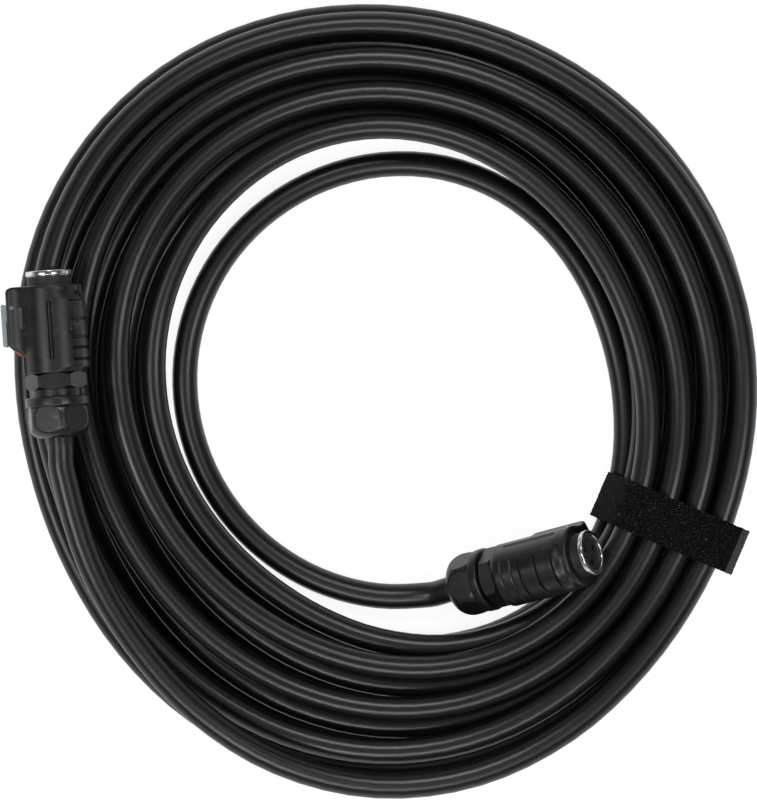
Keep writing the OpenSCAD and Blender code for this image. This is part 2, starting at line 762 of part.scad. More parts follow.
jacket_front = spigot_len - 1;      // where the jacket ends, from the housing's rear face
core_ring = core_d / 2 / cos(30) + 0.1;
core_run = terminal_from - jacket_front;
core_lean = atan((contact_ring - core_ring) / core_run);
CORE_COLOURS = ["#8a5a2b", "#3f6fae", "#5f9a3c"];
module cores()
    for (k = [0 : 2]) color(CORE_COLOURS[k]) rotate([0, 0, 120 * k]) core();
module core()
    union() {
        // insulation, leaning out from the jacket to the terminal
        intersection() {
            translate([0, core_ring, jacket_front]) rotate([-core_lean, 0, 0])
                translate([0, 0, -core_run]) cylinder(r = core_d / 2 - seat, h = 3 * core_run);
            translate([-body_r, -body_r, jacket_front + seat])
                cube([2 * body_r, 2 * body_r, core_run - 2 * seat]);
        }
        // bare copper in the terminal
        translate([0, contact_ring, terminal_from - 1]) cylinder(r = copper_d / 2, h = terminal_len - 2);
    }

// ---- Drawing ----

power_cable();
cable_free_end();
tie_strap();

at(plug, body_at(plug)) housing();  // plug_housing
at(plug, body_at(plug)) front_ring();  // plug_front_ring
at(plug, body_at(plug)) nose_seal();  // plug_nose_seal
at(plug, body_at(plug)) insert(pin_face);  // plug_insert
at(plug, body_at(plug)) plug_contacts();
at(plug, body_at(plug)) terminal_screws();  // plug_terminal_screws
at(plug, body_at(plug)) cores();  // plug_cores
at(plug) cable_end(plug);  // plug_cable_end
at(plug) gland_body(plug);  // plug_gland_body
at(plug) body_seal(plug);  // plug_body_seal
at(plug) grommet(plug);  // plug_grommet
at(plug) clamp_cage();  // plug_clamp_cage
at(plug) rotate([0, 0, plug_nut_turned]) gland_nut();  // plug_gland_nut
at(plug, body_at(plug)) latch_lever();  // plug_latch_lever
at(plug, body_at(plug)) latch_pin();  // plug_latch_pin
at(plug, body_at(plug)) latch_spring();  // plug_latch_spring
at(plug, body_at(plug)) release_button();  // plug_release_button

at(socket, body_at(socket)) housing();  // socket_housing
at(socket, body_at(socket)) front_ring();  // socket_front_ring
at(socket, body_at(socket)) nose_seal();  // socket_nose_seal
at(socket, body_at(socket)) insert(socket_face);  // socket_insert
at(socket, body_at(socket)) socket_contacts();
at(socket, body_at(socket)) terminal_screws();  // socket_terminal_screws
at(socket, body_at(socket)) cores();  // socket_cores
at(socket) cable_end(socket);  // socket_cable_end
at(socket) gland_body(socket);  // socket_gland_body
at(socket) body_seal(socket);  // socket_body_seal
at(socket) grommet(socket);  // socket_grommet
at(socket) clamp_cage();  // socket_clamp_cage
at(socket) gland_nut();  // socket_gland_nut
at(socket, body_at(socket)) latch_lever();  // socket_latch_lever
at(socket, body_at(socket)) latch_pin();  // socket_latch_pin
at(socket, body_at(socket)) latch_spring();  // socket_latch_spring
at(socket, body_at(socket)) release_button();  // socket_release_button
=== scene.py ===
# %% [markdown]
# # A coiled power cord, dressed in Blender
#
# The cord is twelve and a half metres of rubber cable in a flat round coil, held by a hook-and-loop
# strap, with a latching round connector on each end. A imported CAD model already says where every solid
# lies and what moves. This notebook loads it and gives each surface its look: rubber, moulded plastic,
# nickel, pile.

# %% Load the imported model
import json
import math

import bmesh
import bpy
from mathutils import Matrix, Vector, geometry, noise


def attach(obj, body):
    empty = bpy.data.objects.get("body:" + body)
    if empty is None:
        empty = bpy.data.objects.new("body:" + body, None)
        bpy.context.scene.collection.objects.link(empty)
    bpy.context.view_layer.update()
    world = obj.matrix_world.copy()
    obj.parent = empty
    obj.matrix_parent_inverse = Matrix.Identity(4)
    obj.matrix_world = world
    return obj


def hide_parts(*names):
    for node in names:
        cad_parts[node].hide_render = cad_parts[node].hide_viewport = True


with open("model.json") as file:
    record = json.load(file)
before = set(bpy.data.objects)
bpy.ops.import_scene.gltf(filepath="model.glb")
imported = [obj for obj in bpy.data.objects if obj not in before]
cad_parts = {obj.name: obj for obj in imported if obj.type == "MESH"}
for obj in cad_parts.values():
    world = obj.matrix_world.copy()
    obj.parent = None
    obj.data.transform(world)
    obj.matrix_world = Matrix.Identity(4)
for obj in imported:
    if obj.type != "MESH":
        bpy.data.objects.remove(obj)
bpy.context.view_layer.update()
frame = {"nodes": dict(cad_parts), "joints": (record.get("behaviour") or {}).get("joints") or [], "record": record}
nodes = frame["nodes"]
MM = 0.001

# %% [markdown]
# ## The camera
#
# The coil is seen from straight above, from 2.4 metres up, with the picture's top along +Y. Its lens is
# worked out from two real lengths: the camera's height, and the length of floor that the picture takes in
# from top to bottom. The sensor's width lies along the picture's longer side.

# %% The camera
PIXEL, PICTURE_TALL = 0.537 * MM, 800
EYE = Vector((0.2 * MM, 23.4 * MM, 2.4))
SENSOR_MM, SEES_AS_FAR_AS = 36, 20

camera = bpy.data.objects.new("camera", bpy.data.cameras.new("camera"))
bpy.context.scene.collection.objects.link(camera)
camera.location = EYE
camera.data.sensor_width = SENSOR_MM
camera.data.lens = SENSOR_MM * EYE.z / (PICTURE_TALL * PIXEL)
camera.data.clip_end = SEES_AS_FAR_AS
bpy.context.scene.camera = camera
print("lens", round(camera.data.lens, 1), "mm")

# %% [markdown]
# ## Materials: two helpers
#
# Colours are written as sRGB hex values, as a paint program shows them, and one function turns them to
# the linear values that a shader works in. One more function adds a node: its keywords are the node's own
# settings, and its inputs are numbers, colours or the sockets that they are linked to.

# %% Colours and nodes
def linear(colour):
    """Linear RGBA of a hex colour."""
    parts = [int(colour[i:i + 2], 16) / 255 for i in (1, 3, 5)]
    return [c / 12.92 if c <= 0.04045 else ((c + 0.055) / 1.055) ** 2.4 for c in parts] + [1]


def add_node(material, kind, inputs=None, stops=None, **settings):
    """Adds one shader node with its settings, its ramp's stops and its inputs, and returns it."""
    made = material.node_tree.nodes.new("ShaderNode" + kind)
    for name, value in settings.items():
        setattr(made, name, value)
    for i, (place, colour) in enumerate(stops or []):
        ramp = made.color_ramp.elements
        stop = ramp[i] if i < len(ramp) else ramp.new(place)
        stop.position = place
        stop.color = linear(colour)
    for name, value in (inputs or {}).items():
        if isinstance(value, bpy.types.NodeSocket):
            material.node_tree.links.new(value, made.inputs[name])
        else:
            made.inputs[name].default_value = linear(value) if isinstance(value, str) else value
    return made


def new_material(name):
    """An empty node material with its output node."""
    material = bpy.data.materials.new(name)
    material.use_nodes = True
    material.node_tree.nodes.clear()
    return material, add_node(material, "OutputMaterial")


def finish_with(material, output, **inputs):
    """Puts a Principled shader with these inputs on the material, and returns the material."""
    sockets = {name.replace("_", " "): value for name, value in inputs.items()}
    shader = add_node(material, "BsdfPrincipled", sockets)
    material.node_tree.links.new(shader.outputs[0], output.inputs["Surface"])
    return material


# %% [markdown]
# ## Rubber jacket
#
# The jacket is black rubber, extruded round the cores through a die. The die leaves it satin, with faint
# lines along its length that break a highlight into long streaks, and handling leaves a little dust. The
# pattern reads the tube's own UV map, U along the cable and V round it, so the lines follow each bend.

# %% Rubber jacket
def jacket_rubber(cable_length, diameter):
    """Satin black extruded rubber, with die lines, uneven gloss and dust."""
    material, output = new_material("jacket_rubber")
    line_width, line_length, dust_size, patch = 1.1 * MM, 0.5, 0.45 * MM, 60 * MM
    uv = add_node(material, "UVMap", uv_map="UVMap")
    place = add_node(material, "TexCoord")
    drawn = add_node(material, "Mapping", {
        "Vector": uv.outputs["UV"],
        "Scale": (cable_length / line_length, math.pi * diameter / line_width, 1),
    })
    lines = add_node(material, "TexNoise", {"Vector": drawn.outputs[0], "Scale": 1.0, "Detail": 4.0})
    patches = add_node(material, "TexNoise", {
        "Vector": place.outputs["Object"], "Scale": 1 / patch, "Detail": 3.0})
    specks = add_node(material, "TexNoise", {
        "Vector": place.outputs["Object"], "Scale": 1 / dust_size, "Detail": 1.0})
    dust = add_node(material, "ValToRGB", {"Fac": specks.outputs[0]},
                    stops=[(0.70, "#000000"), (0.76, "#8a8a8a")])
    tone = add_node(material, "ValToRGB", {"Fac": patches.outputs[0]},
                    stops=[(0.35, "#060708"), (0.65, "#0d0e0f")])
    colour = add_node(material, "Mix", {0: dust.outputs[0], 6: tone.outputs[0], 7: "#6f6e6a"},
                      data_type="RGBA")
    gloss = add_node(material, "MapRange", {
        "Value": lines.outputs[0], "From Min": 0.3, "From Max": 0.7, "To Min": 0.27, "To Max": 0.40})
    bump = add_node(material, "Bump", {
        "Height": lines.outputs[0], "Strength": 0.35, "Distance": 0.05 * MM})
    return finish_with(material, output, Base_Color=colour.outputs[2], Roughness=gloss.outputs[0],
                       IOR=1.5, Normal=bump.outputs[0])


# %% [markdown]
# ## The cable's route
#
# The route is the one that the CAD model follows, in metres. The cable leaves the socket connector inside
# the coil, takes a first loose loop, and is then wound outwards, inwards and outwards again, a little
# under four turns a layer. Each ring of the route settles on the turns wound before it, so the height
# comes from the plan: a turn that lies x beside another is lifted by what is left of one lap.

# %% The lanes of the coil
CABLE_D = 13.5 * MM
CABLE_R = CABLE_D / 2
TURN_ROOM = 1 * MM
LAP = CABLE_D + TURN_ROOM
STRAP_T = 2 * MM
FLAT_CUT = CABLE_D / 10
FLOOR_Z = CABLE_R - FLAT_CUT
OVER_STRAP = 0.45 * MM
STRAP_RISE = STRAP_T + FLAT_CUT + OVER_STRAP
STRAP_ANGLE = -23
STRAP_EASE = 35
TURN_RINGS = 24
RING_STEP = 360 / TURN_RINGS
RINGS_TO_STRAP = 20
START_ANGLE = STRAP_ANGLE + RING_STEP / 2 + RINGS_TO_STRAP * RING_STEP
LAST_RING = 12 * TURN_RINGS + 5
FIRST_TURNS, LAYER_TURNS = 0.77, 3.74
OUT_1 = FIRST_TURNS + LAYER_TURNS
IN_2 = OUT_1 + LAYER_TURNS
FREE_FROM = IN_2 + LAYER_TURNS - 0.05
FREE_OVER, FREE_IN = 0.37, 0.205
ROUNDING = 0.25
WANDER, WANDER_STEP, WANDER_FROM = 0.2, 700, 42
SPARE_FROM = 0.5 * MM
LOOSE_FROM, LOOSE_OVER = 0.45, 0.5
SET_SHIFT = Vector((0.8 * MM, 23.4 * MM, 0))


def cosd(angle):
    """Cosine of an angle in degrees."""
    return math.cos(math.radians(angle))


def smooth(x):
    """An even step from 0 to 1."""
    c = min(1, max(0, x))
    return c * c * (3 - 2 * c)


def lane_shape(mean, waves, a):
    """A closed lane's radius at an angle: its mean, then its shift, oval and three-cornered waviness."""
    return MM * (mean + sum(size * cosd(k * (a - turned)) for k, size, turned in waves))


def outermost(a):
    """Radius of the bundle's outermost lane in a direction."""
    return lane_shape(201, [(1, 3.5, 87), (2, 7, 98), (3, 4.3, 21)], a)


def innermost(a):
    """Radius of the bundle's innermost lane in a direction."""
    return lane_shape(128.5, [(1, 11.5, 32), (2, 8, -61), (3, 2.2, -43)], a)


def across(t):
    """Share of the way across the bundle after t turns, rounded where the spiral reverses."""
    for turn, side in ((OUT_1, 1), (IN_2, -1)):
        if abs(t - turn) < ROUNDING:
            back = (t - turn) ** 2 / (2 * ROUNDING) + ROUNDING / 2
            return side * (0.5 - back / LAYER_TURNS) + 0.5
    till = min(t, FREE_FROM)
    steady = till - FIRST_TURNS if till < OUT_1 else IN_2 - till if till < IN_2 else till - IN_2
    return steady / LAYER_TURNS - FREE_IN * smooth((t - FREE_FROM) / FREE_OVER)


def ring_angle(i):
    """Direction of ring i in plan, in degrees."""
    return START_ANGLE - i * RING_STEP


def lane(i):
    """Radius of ring i in plan."""
    t, a = i / TURN_RINGS, ring_angle(i)
    width = outermost(a) - innermost(a)
    spare = max(0, width / LAYER_TURNS - LAP - SPARE_FROM)
    aside = 0 if t < 1 else WANDER * spare * cosd(WANDER_STEP * t + WANDER_FROM - 90)
    first = lane_shape(115, [(1, 15, 42)], a)
    bundle = innermost(a) + across(t) * width + aside
    return first + (bundle - first) * smooth((t - LOOSE_FROM) / LOOSE_OVER)


lanes = [lane(i) for i in range(LAST_RING + 1)]
print("lanes from", round(min(lanes) / MM), "to", round(max(lanes) / MM), "mm")

# %% The height of each ring
NESTLE = 0.8
NESTLE_H = math.sqrt(1 - NESTLE ** 2)


def layer_of(i):
    """Which of the three layers ring i lies in: 0, 1 or 2."""
    return sum(i / TURN_RINGS >= turn for turn in (OUT_1, IN_2))


def lift(x, climbs):
    """How far a turn is lifted by one that lies x beside it, with a gentler climb onto another layer."""
    if climbs and x > NESTLE * LAP:
        return max(0, NESTLE_H * LAP - (x - NESTLE * LAP) * NESTLE / NESTLE_H)
    return math.sqrt(LAP ** 2 - x ** 2) if x < LAP else 0


def strap_lift(a):
    """How far the strap lifts a turn that crosses it, and its neighbours by less and less."""
    off = abs((a - STRAP_ANGLE + 180) % 360 - 180)
    return STRAP_RISE * (1 - smooth((off - RING_STEP / 2) / STRAP_EASE))


laid = []
for i in range(LAST_RING + 1):
    heights = [FLOOR_Z + strap_lift(ring_angle(i))]
    for j in range(i - TURN_RINGS, -1, -TURN_RINGS):
        up = lift(abs(lanes[i] - lanes[j]), layer_of(i) != layer_of(j))
        if up > 0:
            heights.append(laid[j] + up)
    laid.append(max(heights))
eased = list(laid)
for i in range(1, LAST_RING):
    eased[i] = max(laid[i], (laid[i - 1] + 2 * laid[i] + laid[i + 1]) / 4)
print("highest middle", round(max(eased) / MM, 2), "mm")

# %% [markdown]
# ## The connectors' own frames
#
# Both connectors are built alike, so each piece is modelled once in the connector's own frame and then
# put in place twice. That frame isn't typed in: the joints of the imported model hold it. The nut turns
# about the connector's axis, the latch tilts across it, and the button is pressed towards it.

# %% The connectors' own frames
joints = {joint["name"]: joint for joint in frame["joints"]}
NUT_JOINT_AT = 10 * MM


def connector_frame(side):
    """Matrix to the set's frame from a connector's own, with Z along its axis from the nut's rear face."""
    names = ("_latch_tilt", "_button_press", "_nut_turn")
    x, y, z = (-Vector(joints[side + name]["axis"]) for name in names)
    origin = Vector(joints[side + "_nut_turn"]["pos_m"]) - NUT_JOINT_AT * z
    turn = Matrix((x, y, z)).transposed().to_4x4()
    return Matrix.Translation(origin) @ turn


FRAMES = {side: connector_frame(side) for side in ("plug", "socket")}
for side, place in FRAMES.items():
    print(side, "connector at", [round(c / MM, 1) for c in place.translation])


def on_axis(side, along):
    """The point on a connector's axis that lies this far in front of its nut's rear face."""
    return FRAMES[side] @ Vector((0, 0, along))


# %% [markdown]
# ## The cable
#
# The rings are joined by Bezier stretches whose handles follow their neighbours, so the polyline of the
# CAD tube becomes one smooth bend. A curve with a round bevel then makes the tube. It becomes a mesh,
# because rubber that lies on a floor is pressed flat where it touches: no vertex goes below the floor.

# %% The cable's smooth route
STUB_OUT = 4 * MM
CABLE_IN = 3 * MM
FREE_RISE = 9
SUB_STEPS = 4


def free_height(i):
    """Height of ring i, with the climb of the free end to its connector."""
    climb = smooth((i - LAST_RING + FREE_RISE - 1) / FREE_RISE)
    return eased[i] + max(0, FRAMES["plug"].translation.z - eased[i]) * climb


def ring_middle(i):
    """Where the cable's middle is at ring i."""
    a = math.radians(ring_angle(i))
    return SET_SHIFT + Vector((lanes[i] * math.cos(a), lanes[i] * math.sin(a), free_height(i)))


ends = (CABLE_IN, -STUB_OUT, -STUB_OUT - CABLE_D)
knots = [on_axis("socket", s) for s in ends]
knots += [ring_middle(i) for i in range(1, LAST_RING + 1)]
knots += [on_axis("plug", s) for s in reversed(ends)]


def bezier_through(points, steps):
    """A smooth line through points, with handles along the line from neighbour to neighbour."""
    line = []
    for i in range(len(points) - 1):
        beside = [min(max(k, 0), len(points) - 1) for k in range(i - 1, i + 3)]
        before, here, there, after = (points[k] for k in beside)
        span = (there - here).length
        lean_out = (there - before).normalized() * span / 3
        lean_in = (after - here).normalized() * span / 3
        stretch = geometry.interpolate_bezier(here, here + lean_out, there - lean_in, there, steps + 1)
        line += stretch[:-1]
    return line + [points[-1]]


route = bezier_through(knots, SUB_STEPS)
route_length = sum((b - a).length for a, b in zip(route, route[1:]))
print("cable", round(route_length, 3), "m long, in", len(route), "points")


# %% The cable's tube
TUBE_SIDES, FACET_ROOM = 24, 0.03 * MM


def tube_along(name, points, radius, sides):
    """A mesh tube round a line of points, with a UV map along and round it."""
    curve = bpy.data.curves.new(name, "CURVE")
    curve.dimensions = "3D"
    curve.twist_mode = "Z_UP"
    curve.bevel_depth = radius
    curve.bevel_resolution = sides // 2 - 2
    curve.use_fill_caps = True
    spline = curve.splines.new("POLY")
    spline.points.add(len(points) - 1)
    for point, p in zip(spline.points, points):
        point.co = (*p, 1)
    rough = bpy.data.objects.new(name, curve)
    mesh = bpy.data.meshes.new_from_object(rough)
    mesh.name = name
    bpy.data.objects.remove(rough)
    made = bpy.data.objects.new(name, mesh)
    bpy.context.scene.collection.objects.link(made)
    return made


cable = tube_along("cable", route, CABLE_R + FACET_ROOM, TUBE_SIDES)
for vertex in cable.data.vertices:
    vertex.co.z = max(0, vertex.co.z)
cable.data.shade_smooth()
cable.data.materials.append(jacket_rubber(route_length, CABLE_D))
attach(cable, "root")
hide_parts("power_cable", "cable_free_end")
print("cable mesh", len(cable.data.polygons), "faces, UV maps", cable.data.uv_layers.keys())

# %% [markdown]
# ## Moulded plastic
#
# The connectors are glass-filled nylon, moulded black in a spark-eroded steel mould. The mould prints an
# even grain a fifth of a millimetre wide, which spreads the light to a dull sheen. Handling polishes it in
# patches, scratches it lightly and leaves pale dust. The same recipe, with other colours and gloss, also
# gives the catch, the seals and the insert, so it is one function with those as its values.

# %% Moulded plastic
GRAIN, DUST_SPECK = 0.22 * MM, 0.7 * MM
TONE_PATCH, SCUFF, SCRATCH_PATH = 16 * MM, 9 * MM, 12 * MM
DUST_FROM = 0.74


def moulded(name, deep, pale, rough, bump=0.25, scuffs=0.0):
    """Moulded plastic or rubber in two close tones, with grain, uneven gloss, dust and light scratches."""
    material, output = new_material(name)
    place = add_node(material, "TexCoord").outputs["Object"]
    grains = add_node(material, "TexNoise", {"Vector": place, "Scale": 1 / GRAIN, "Detail": 2.0})
    patches = add_node(material, "TexNoise", {"Vector": place, "Scale": 1 / TONE_PATCH, "Detail": 3.0})
    tone = add_node(material, "ValToRGB", {"Fac": patches.outputs[0]}, stops=[(0.35, deep), (0.68, pale)])
    specks = add_node(material, "TexNoise", {"Vector": place, "Scale": 1 / DUST_SPECK, "Detail": 2.0})
    dust = add_node(material, "ValToRGB", {"Fac": specks.outputs[0]},
                    stops=[(DUST_FROM, "#000000"), (DUST_FROM + 0.04, "#b0b0b0")])
    dusty = add_node(material, "Mix", {0: dust.outputs[0], 6: tone.outputs[0], 7: "#8f9190"},
                     data_type="RGBA")
    warp = add_node(material, "Mapping", {
        "Vector": place, "Scale": (1, 5, 2), "Rotation": (0.4, 0.9, 0.3)})
    marks = add_node(material, "TexNoise", {
        "Vector": warp.outputs[0], "Scale": 1 / SCUFF, "Detail": 5.0, "Distortion": 1.2})
    worn = add_node(material, "ValToRGB", {"Fac": marks.outputs[0]},
                    stops=[(0.60, "#000000"), (0.70, "#ffffff")])
    share = add_node(material, "Math", {0: worn.outputs[0], 1: scuffs}, operation="MULTIPLY")
    rubbed = add_node(material, "Mix", {0: share.outputs[0], 6: dusty.outputs[2], 7: "#4b4d50"},
                      data_type="RGBA")
    paths = add_node(material, "TexNoise", {"Vector": place, "Scale": 1 / SCRATCH_PATH, "Detail": 1.0})
    hairs = add_node(material, "ValToRGB", {"Fac": paths.outputs[0]}, stops=[
        (0.490, "#000000"), (0.4985, "#ffffff"), (0.5015, "#ffffff"), (0.510, "#000000")])
    there = add_node(material, "ValToRGB", {"Fac": marks.outputs[0]},
                     stops=[(0.56, "#000000"), (0.60, "#909090")])
    scratched = add_node(material, "Math", {0: hairs.outputs[0], 1: there.outputs[0]},
                         operation="MULTIPLY")
    colour = add_node(material, "Mix", {0: scratched.outputs[0], 6: rubbed.outputs[2], 7: "#7c7f81"},
                      data_type="RGBA")
    gloss = add_node(material, "MapRange", {
        "Value": patches.outputs[0], "From Min": 0.3, "From Max": 0.7, "To Min": rough - 0.05,
        "To Max": rough + 0.06})
    fine = add_node(material, "Bump", {
        "Height": grains.outputs[0], "Strength": bump, "Distance": 0.04 * MM})
    return finish_with(material, output, Base_Color=colour.outputs[2], Roughness=gloss.outputs[0],
                       IOR=1.5, Normal=fine.outputs[0])


# %% [markdown]
# ## Plated and bare metal
#
# The nose ring is nickel-plated brass, turned on a lathe. The plating is bright and keeps the tool's fine
# rings. The latch pad is zinc alloy with a pale satin chrome. Pins and screws are left bare. In each the
# colour lies in what the metal mirrors, so its own colour is nearly even and roughness does the work.

# %% Plated and bare metal
CLOUD = 5 * MM


def metal(name, colour, worn, rough, line=0.15 * MM):
    """Plated metal with fine tool lines, a slightly cloudy gloss and darker handled patches."""
    material, output = new_material(name)
    place = add_node(material, "TexCoord").outputs["Object"]
    clouds = add_node(material, "TexNoise", {"Vector": place, "Scale": 1 / CLOUD, "Detail": 4.0})
    lines = add_node(material, "TexNoise", {"Vector": place, "Scale": 1 / line, "Detail": 2.0})
    tone = add_node(material, "ValToRGB", {"Fac": clouds.outputs[0]}, stops=[(0.35, worn), (0.6, colour)])
    gloss = add_node(material, "MapRange", {
        "Value": clouds.outputs[0], "From Min": 0.3, "From Max": 0.7, "To Min": rough + 0.08,
        "To Max": rough})
    bump = add_node(material, "Bump", {
        "Height": lines.outputs[0], "Strength": 0.15, "Distance": 0.02 * MM})
    return finish_with(material, output, Base_Color=tone.outputs[0], Roughness=gloss.outputs[0],
                       Metallic=1.0, Normal=bump.outputs[0])


# %% Every slot's finish
FINISH = {
    "housing_plastic": moulded("housing_nylon_moulded", "#060708", "#0c0d0e", 0.36, scuffs=0.10),
    "gland_plastic": moulded("gland_nylon_moulded", "#070809", "#0d0e0f", 0.35, scuffs=0.08),
    "insert_plastic": moulded("insert_pbt_moulded", "#060607", "#0b0b0c", 0.6),
    "nose_metal": metal("nickel_plated", "#dfe2e3", "#b9bdc0", 0.16),
    "seal_rubber": moulded("seal_silicone_moulded", "#0f1011", "#1a1b1c", 0.55, bump=0.1),
    "grommet_rubber": moulded("grommet_rubber_moulded", "#121212", "#1c1c1c", 0.6, bump=0.1),
    "contact_brass": metal("contact_brass_turned", "#e2c27c", "#c9a55c", 0.2),
    "steel_small": metal("steel_zinc_plated", "#c9cccd", "#9fa2a4", 0.25),
    "core_insulation": moulded("core_pvc_extruded", "#6b4a2a", "#7a5632", 0.4, bump=0.05),
    "cage_plastic": moulded("cage_polyamide_moulded", "#d2d0c8", "#dedcd4", 0.45),
    "latch_metal": metal("latch_chrome_satin", "#b9c6cc", "#a3b0b7", 0.3, line=0.3 * MM),
    "button_plastic": moulded("catch_plastic_red", "#b8362c", "#cf4d40", 0.35, bump=0.1),
}
print(len(FINISH), "finishes")

# %% [markdown]
# ## The parts that CAD already shapes well
#
# Most connector parts have their exact shape in CAD, down to the chamfers. They only lack what a mould or
# a lathe leaves: no edge is perfectly sharp. Each visible one is copied, its triangles are merged to flats
# again, and its sharp edges are bevelled by a few tenths of a millimetre so that they catch the light.
# Parts that lie deep inside keep their CAD mesh and only get their finish.

# %% A softened copy
SIDES = ("plug", "socket")
SMOOTH_BELOW, BEVEL_ABOVE, FLAT_BELOW = math.radians(33), math.radians(30), math.radians(1)
SAME_POINT, NO_LENGTH = 0.004 * MM, 0.003 * MM


def new_piece(name, bm, material, body, replaced):
    """A bmesh made a finished piece: smooth between sharp edges, on its body and in a CAD node's place."""
    for face in bm.faces:
        face.smooth = True
    for edge in bm.edges:
        edge.smooth = edge.calc_face_angle(0) < SMOOTH_BELOW
    mesh = bpy.data.meshes.new(name)
    bm.to_mesh(mesh)
    bm.free()
    made = bpy.data.objects.new(name, mesh)
    bpy.context.scene.collection.objects.link(made)
    mesh.materials.append(material)
    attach(made, body)
    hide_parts(replaced)
    return made


def softened(node, body, slot, edge):
    """Replaces a CAD node by a copy with flats joined and edges bevelled."""
    bm = bmesh.new()
    bm.from_mesh(nodes[node].data)
    bmesh.ops.remove_doubles(bm, verts=bm.verts, dist=SAME_POINT)
    bmesh.ops.dissolve_limit(bm, angle_limit=FLAT_BELOW, verts=bm.verts, edges=bm.edges)
    sharp = [e for e in bm.edges if e.calc_face_angle(0) > BEVEL_ABOVE]
    bmesh.ops.bevel(bm, geom=sharp, offset=edge, segments=2, profile=0.5, affect="EDGES",
                    clamp_overlap=True, material=-1)
    bmesh.ops.dissolve_degenerate(bm, dist=NO_LENGTH, edges=bm.edges)
    made = new_piece(node + "_piece", bm, FINISH[slot], body, node)
    made.modifiers.new("flats", "WEIGHTED_NORMAL").keep_sharp = True
    return made


slots = {part["node"]: part["material_slot"] for part in frame["record"]["subparts"]}
bodies = frame["record"]["behaviour"]["bodies"]
rides_on = {node: body for body, held in bodies.items() for node in held}

# %% Softened copies and finishes
SOFT_EDGES = {
    "gland_body": 0.3 * MM, "body_seal": 0.2 * MM, "latch_lever": 0.3 * MM, "release_button": 0.25 * MM,
}
for side in SIDES:
    for part, edge in SOFT_EDGES.items():
        node = f"{side}_{part}"
        softened(node, rides_on[node], slots[node], edge)
for node, made in nodes.items():
    finish = "grommet_rubber" if slots[node] == "cable_jacket" else slots[node]
    if finish in FINISH:
        for slot in made.material_slots:
            slot.material = FINISH[finish]
print(len(SOFT_EDGES) * len(SIDES), "parts softened")

# %% [markdown]
# ## The gland nut
#
# The nut that clamps the cable is a barrel with six spanner flats, so each flat ends in a curve and a
# rounded ridge is left between two of them. The barrel is a profile spun about the axis. Each flat is then
# pressed in: a point of the skin that stands out past the flat's plane moves in along its radius to it.

# %% The gland nut
NUT_LEN, NUT_AF, NUT_WALL = 21.6 * MM, 30 * MM, 4 * MM
NUT_HOLE_R = CABLE_R + 0.55 * MM
NUT_RIM_R = NUT_HOLE_R + 2.2 * MM
DOME_LEN, BARREL_R, WAIST_R = 9 * MM, 16.75 * MM, 15.3 * MM
COLLAR_R, COLLAR_LEN, COLLAR_EDGE = 16.8 * MM, 5 * MM, 0.8 * MM
WAIST_Z = NUT_LEN - COLLAR_LEN
NUT_TURNED = {"plug": -19, "socket": 0}
THREAD_R, BORE_FROM, CAVITY_R = 13.4 * MM, 7.3 * MM, 11.65 * MM
HOLE_CHAMFER, CLEAR_OF_COLLAR = 0.4 * MM, 0.01 * MM
FLAT_STEP = math.radians(60)
NUT_STEPS, DOME_STEPS, BELLY_STEPS, EDGE_STEPS = 180, 22, 14, 4


def spun(profile, steps):
    """A closed bmesh from a closed profile of (radius, z) points, spun about Z."""
    bm = bmesh.new()
    corners = [bm.verts.new((r, 0, z)) for r, z in profile]
    edges = [bm.edges.new(pair) for pair in zip(corners, corners[1:] + corners[:1])]
    bmesh.ops.spin(bm, geom=corners + edges, axis=(0, 0, 1), cent=(0, 0, 0), steps=steps,
                   angle=math.tau, use_merge=True)
    bmesh.ops.remove_doubles(bm, verts=bm.verts, dist=0.001 * MM)
    bmesh.ops.recalc_face_normals(bm, faces=bm.faces)
    return bm


def arc(middle, size, start, end, steps):
    """Points (radius, z) of an elliptic arc between two angles in degrees."""
    angles = [start + (end - start) * i / steps for i in range(steps + 1)]
    return [(middle[0] + size[0] * cosd(a), middle[1] + size[1] * cosd(a - 90)) for a in angles]


def nut_profile():
    """Outline of half the nut's section, from its rear hole round the outside and back inside."""
    dome = arc((NUT_RIM_R, DOME_LEN), (BARREL_R - NUT_RIM_R, DOME_LEN), -90, 0, DOME_STEPS)
    belly = arc((WAIST_R, DOME_LEN), (BARREL_R - WAIST_R, WAIST_Z - DOME_LEN), 0, 90, BELLY_STEPS)
    inner = COLLAR_R - COLLAR_EDGE
    front = arc((inner, NUT_LEN - COLLAR_EDGE), (COLLAR_EDGE, COLLAR_EDGE), 0, 90, EDGE_STEPS)
    rear = arc((inner, WAIST_Z + COLLAR_EDGE), (COLLAR_EDGE, COLLAR_EDGE), -90, 0, EDGE_STEPS)
    inside = [(THREAD_R, NUT_LEN), (THREAD_R, BORE_FROM), (CAVITY_R, BORE_FROM), (CAVITY_R, NUT_WALL),
              (NUT_HOLE_R, NUT_WALL), (NUT_HOLE_R, HOLE_CHAMFER), (NUT_HOLE_R + HOLE_CHAMFER, 0)]
    return dome + belly[1:] + rear + front + inside


for side in SIDES:
    bm = spun(nut_profile(), NUT_STEPS)
    for v in bm.verts:
        off = FLAT_STEP / 2 - (math.atan2(v.co.y, v.co.x) + FLAT_STEP / 2) % FLAT_STEP
        out = v.co.xy.length * math.cos(off)
        if v.co.z < WAIST_Z - CLEAR_OF_COLLAR and out > NUT_AF / 2:
            v.co.xy *= NUT_AF / 2 / out
    turned = Matrix.Rotation(math.radians(NUT_TURNED[side]), 4, "Z")
    bmesh.ops.transform(bm, matrix=FRAMES[side] @ turned, verts=bm.verts)
    new_piece(side + "_nut", bm, FINISH["gland_plastic"], side + "_nut",
              side + "_gland_nut")
print("nuts spun")

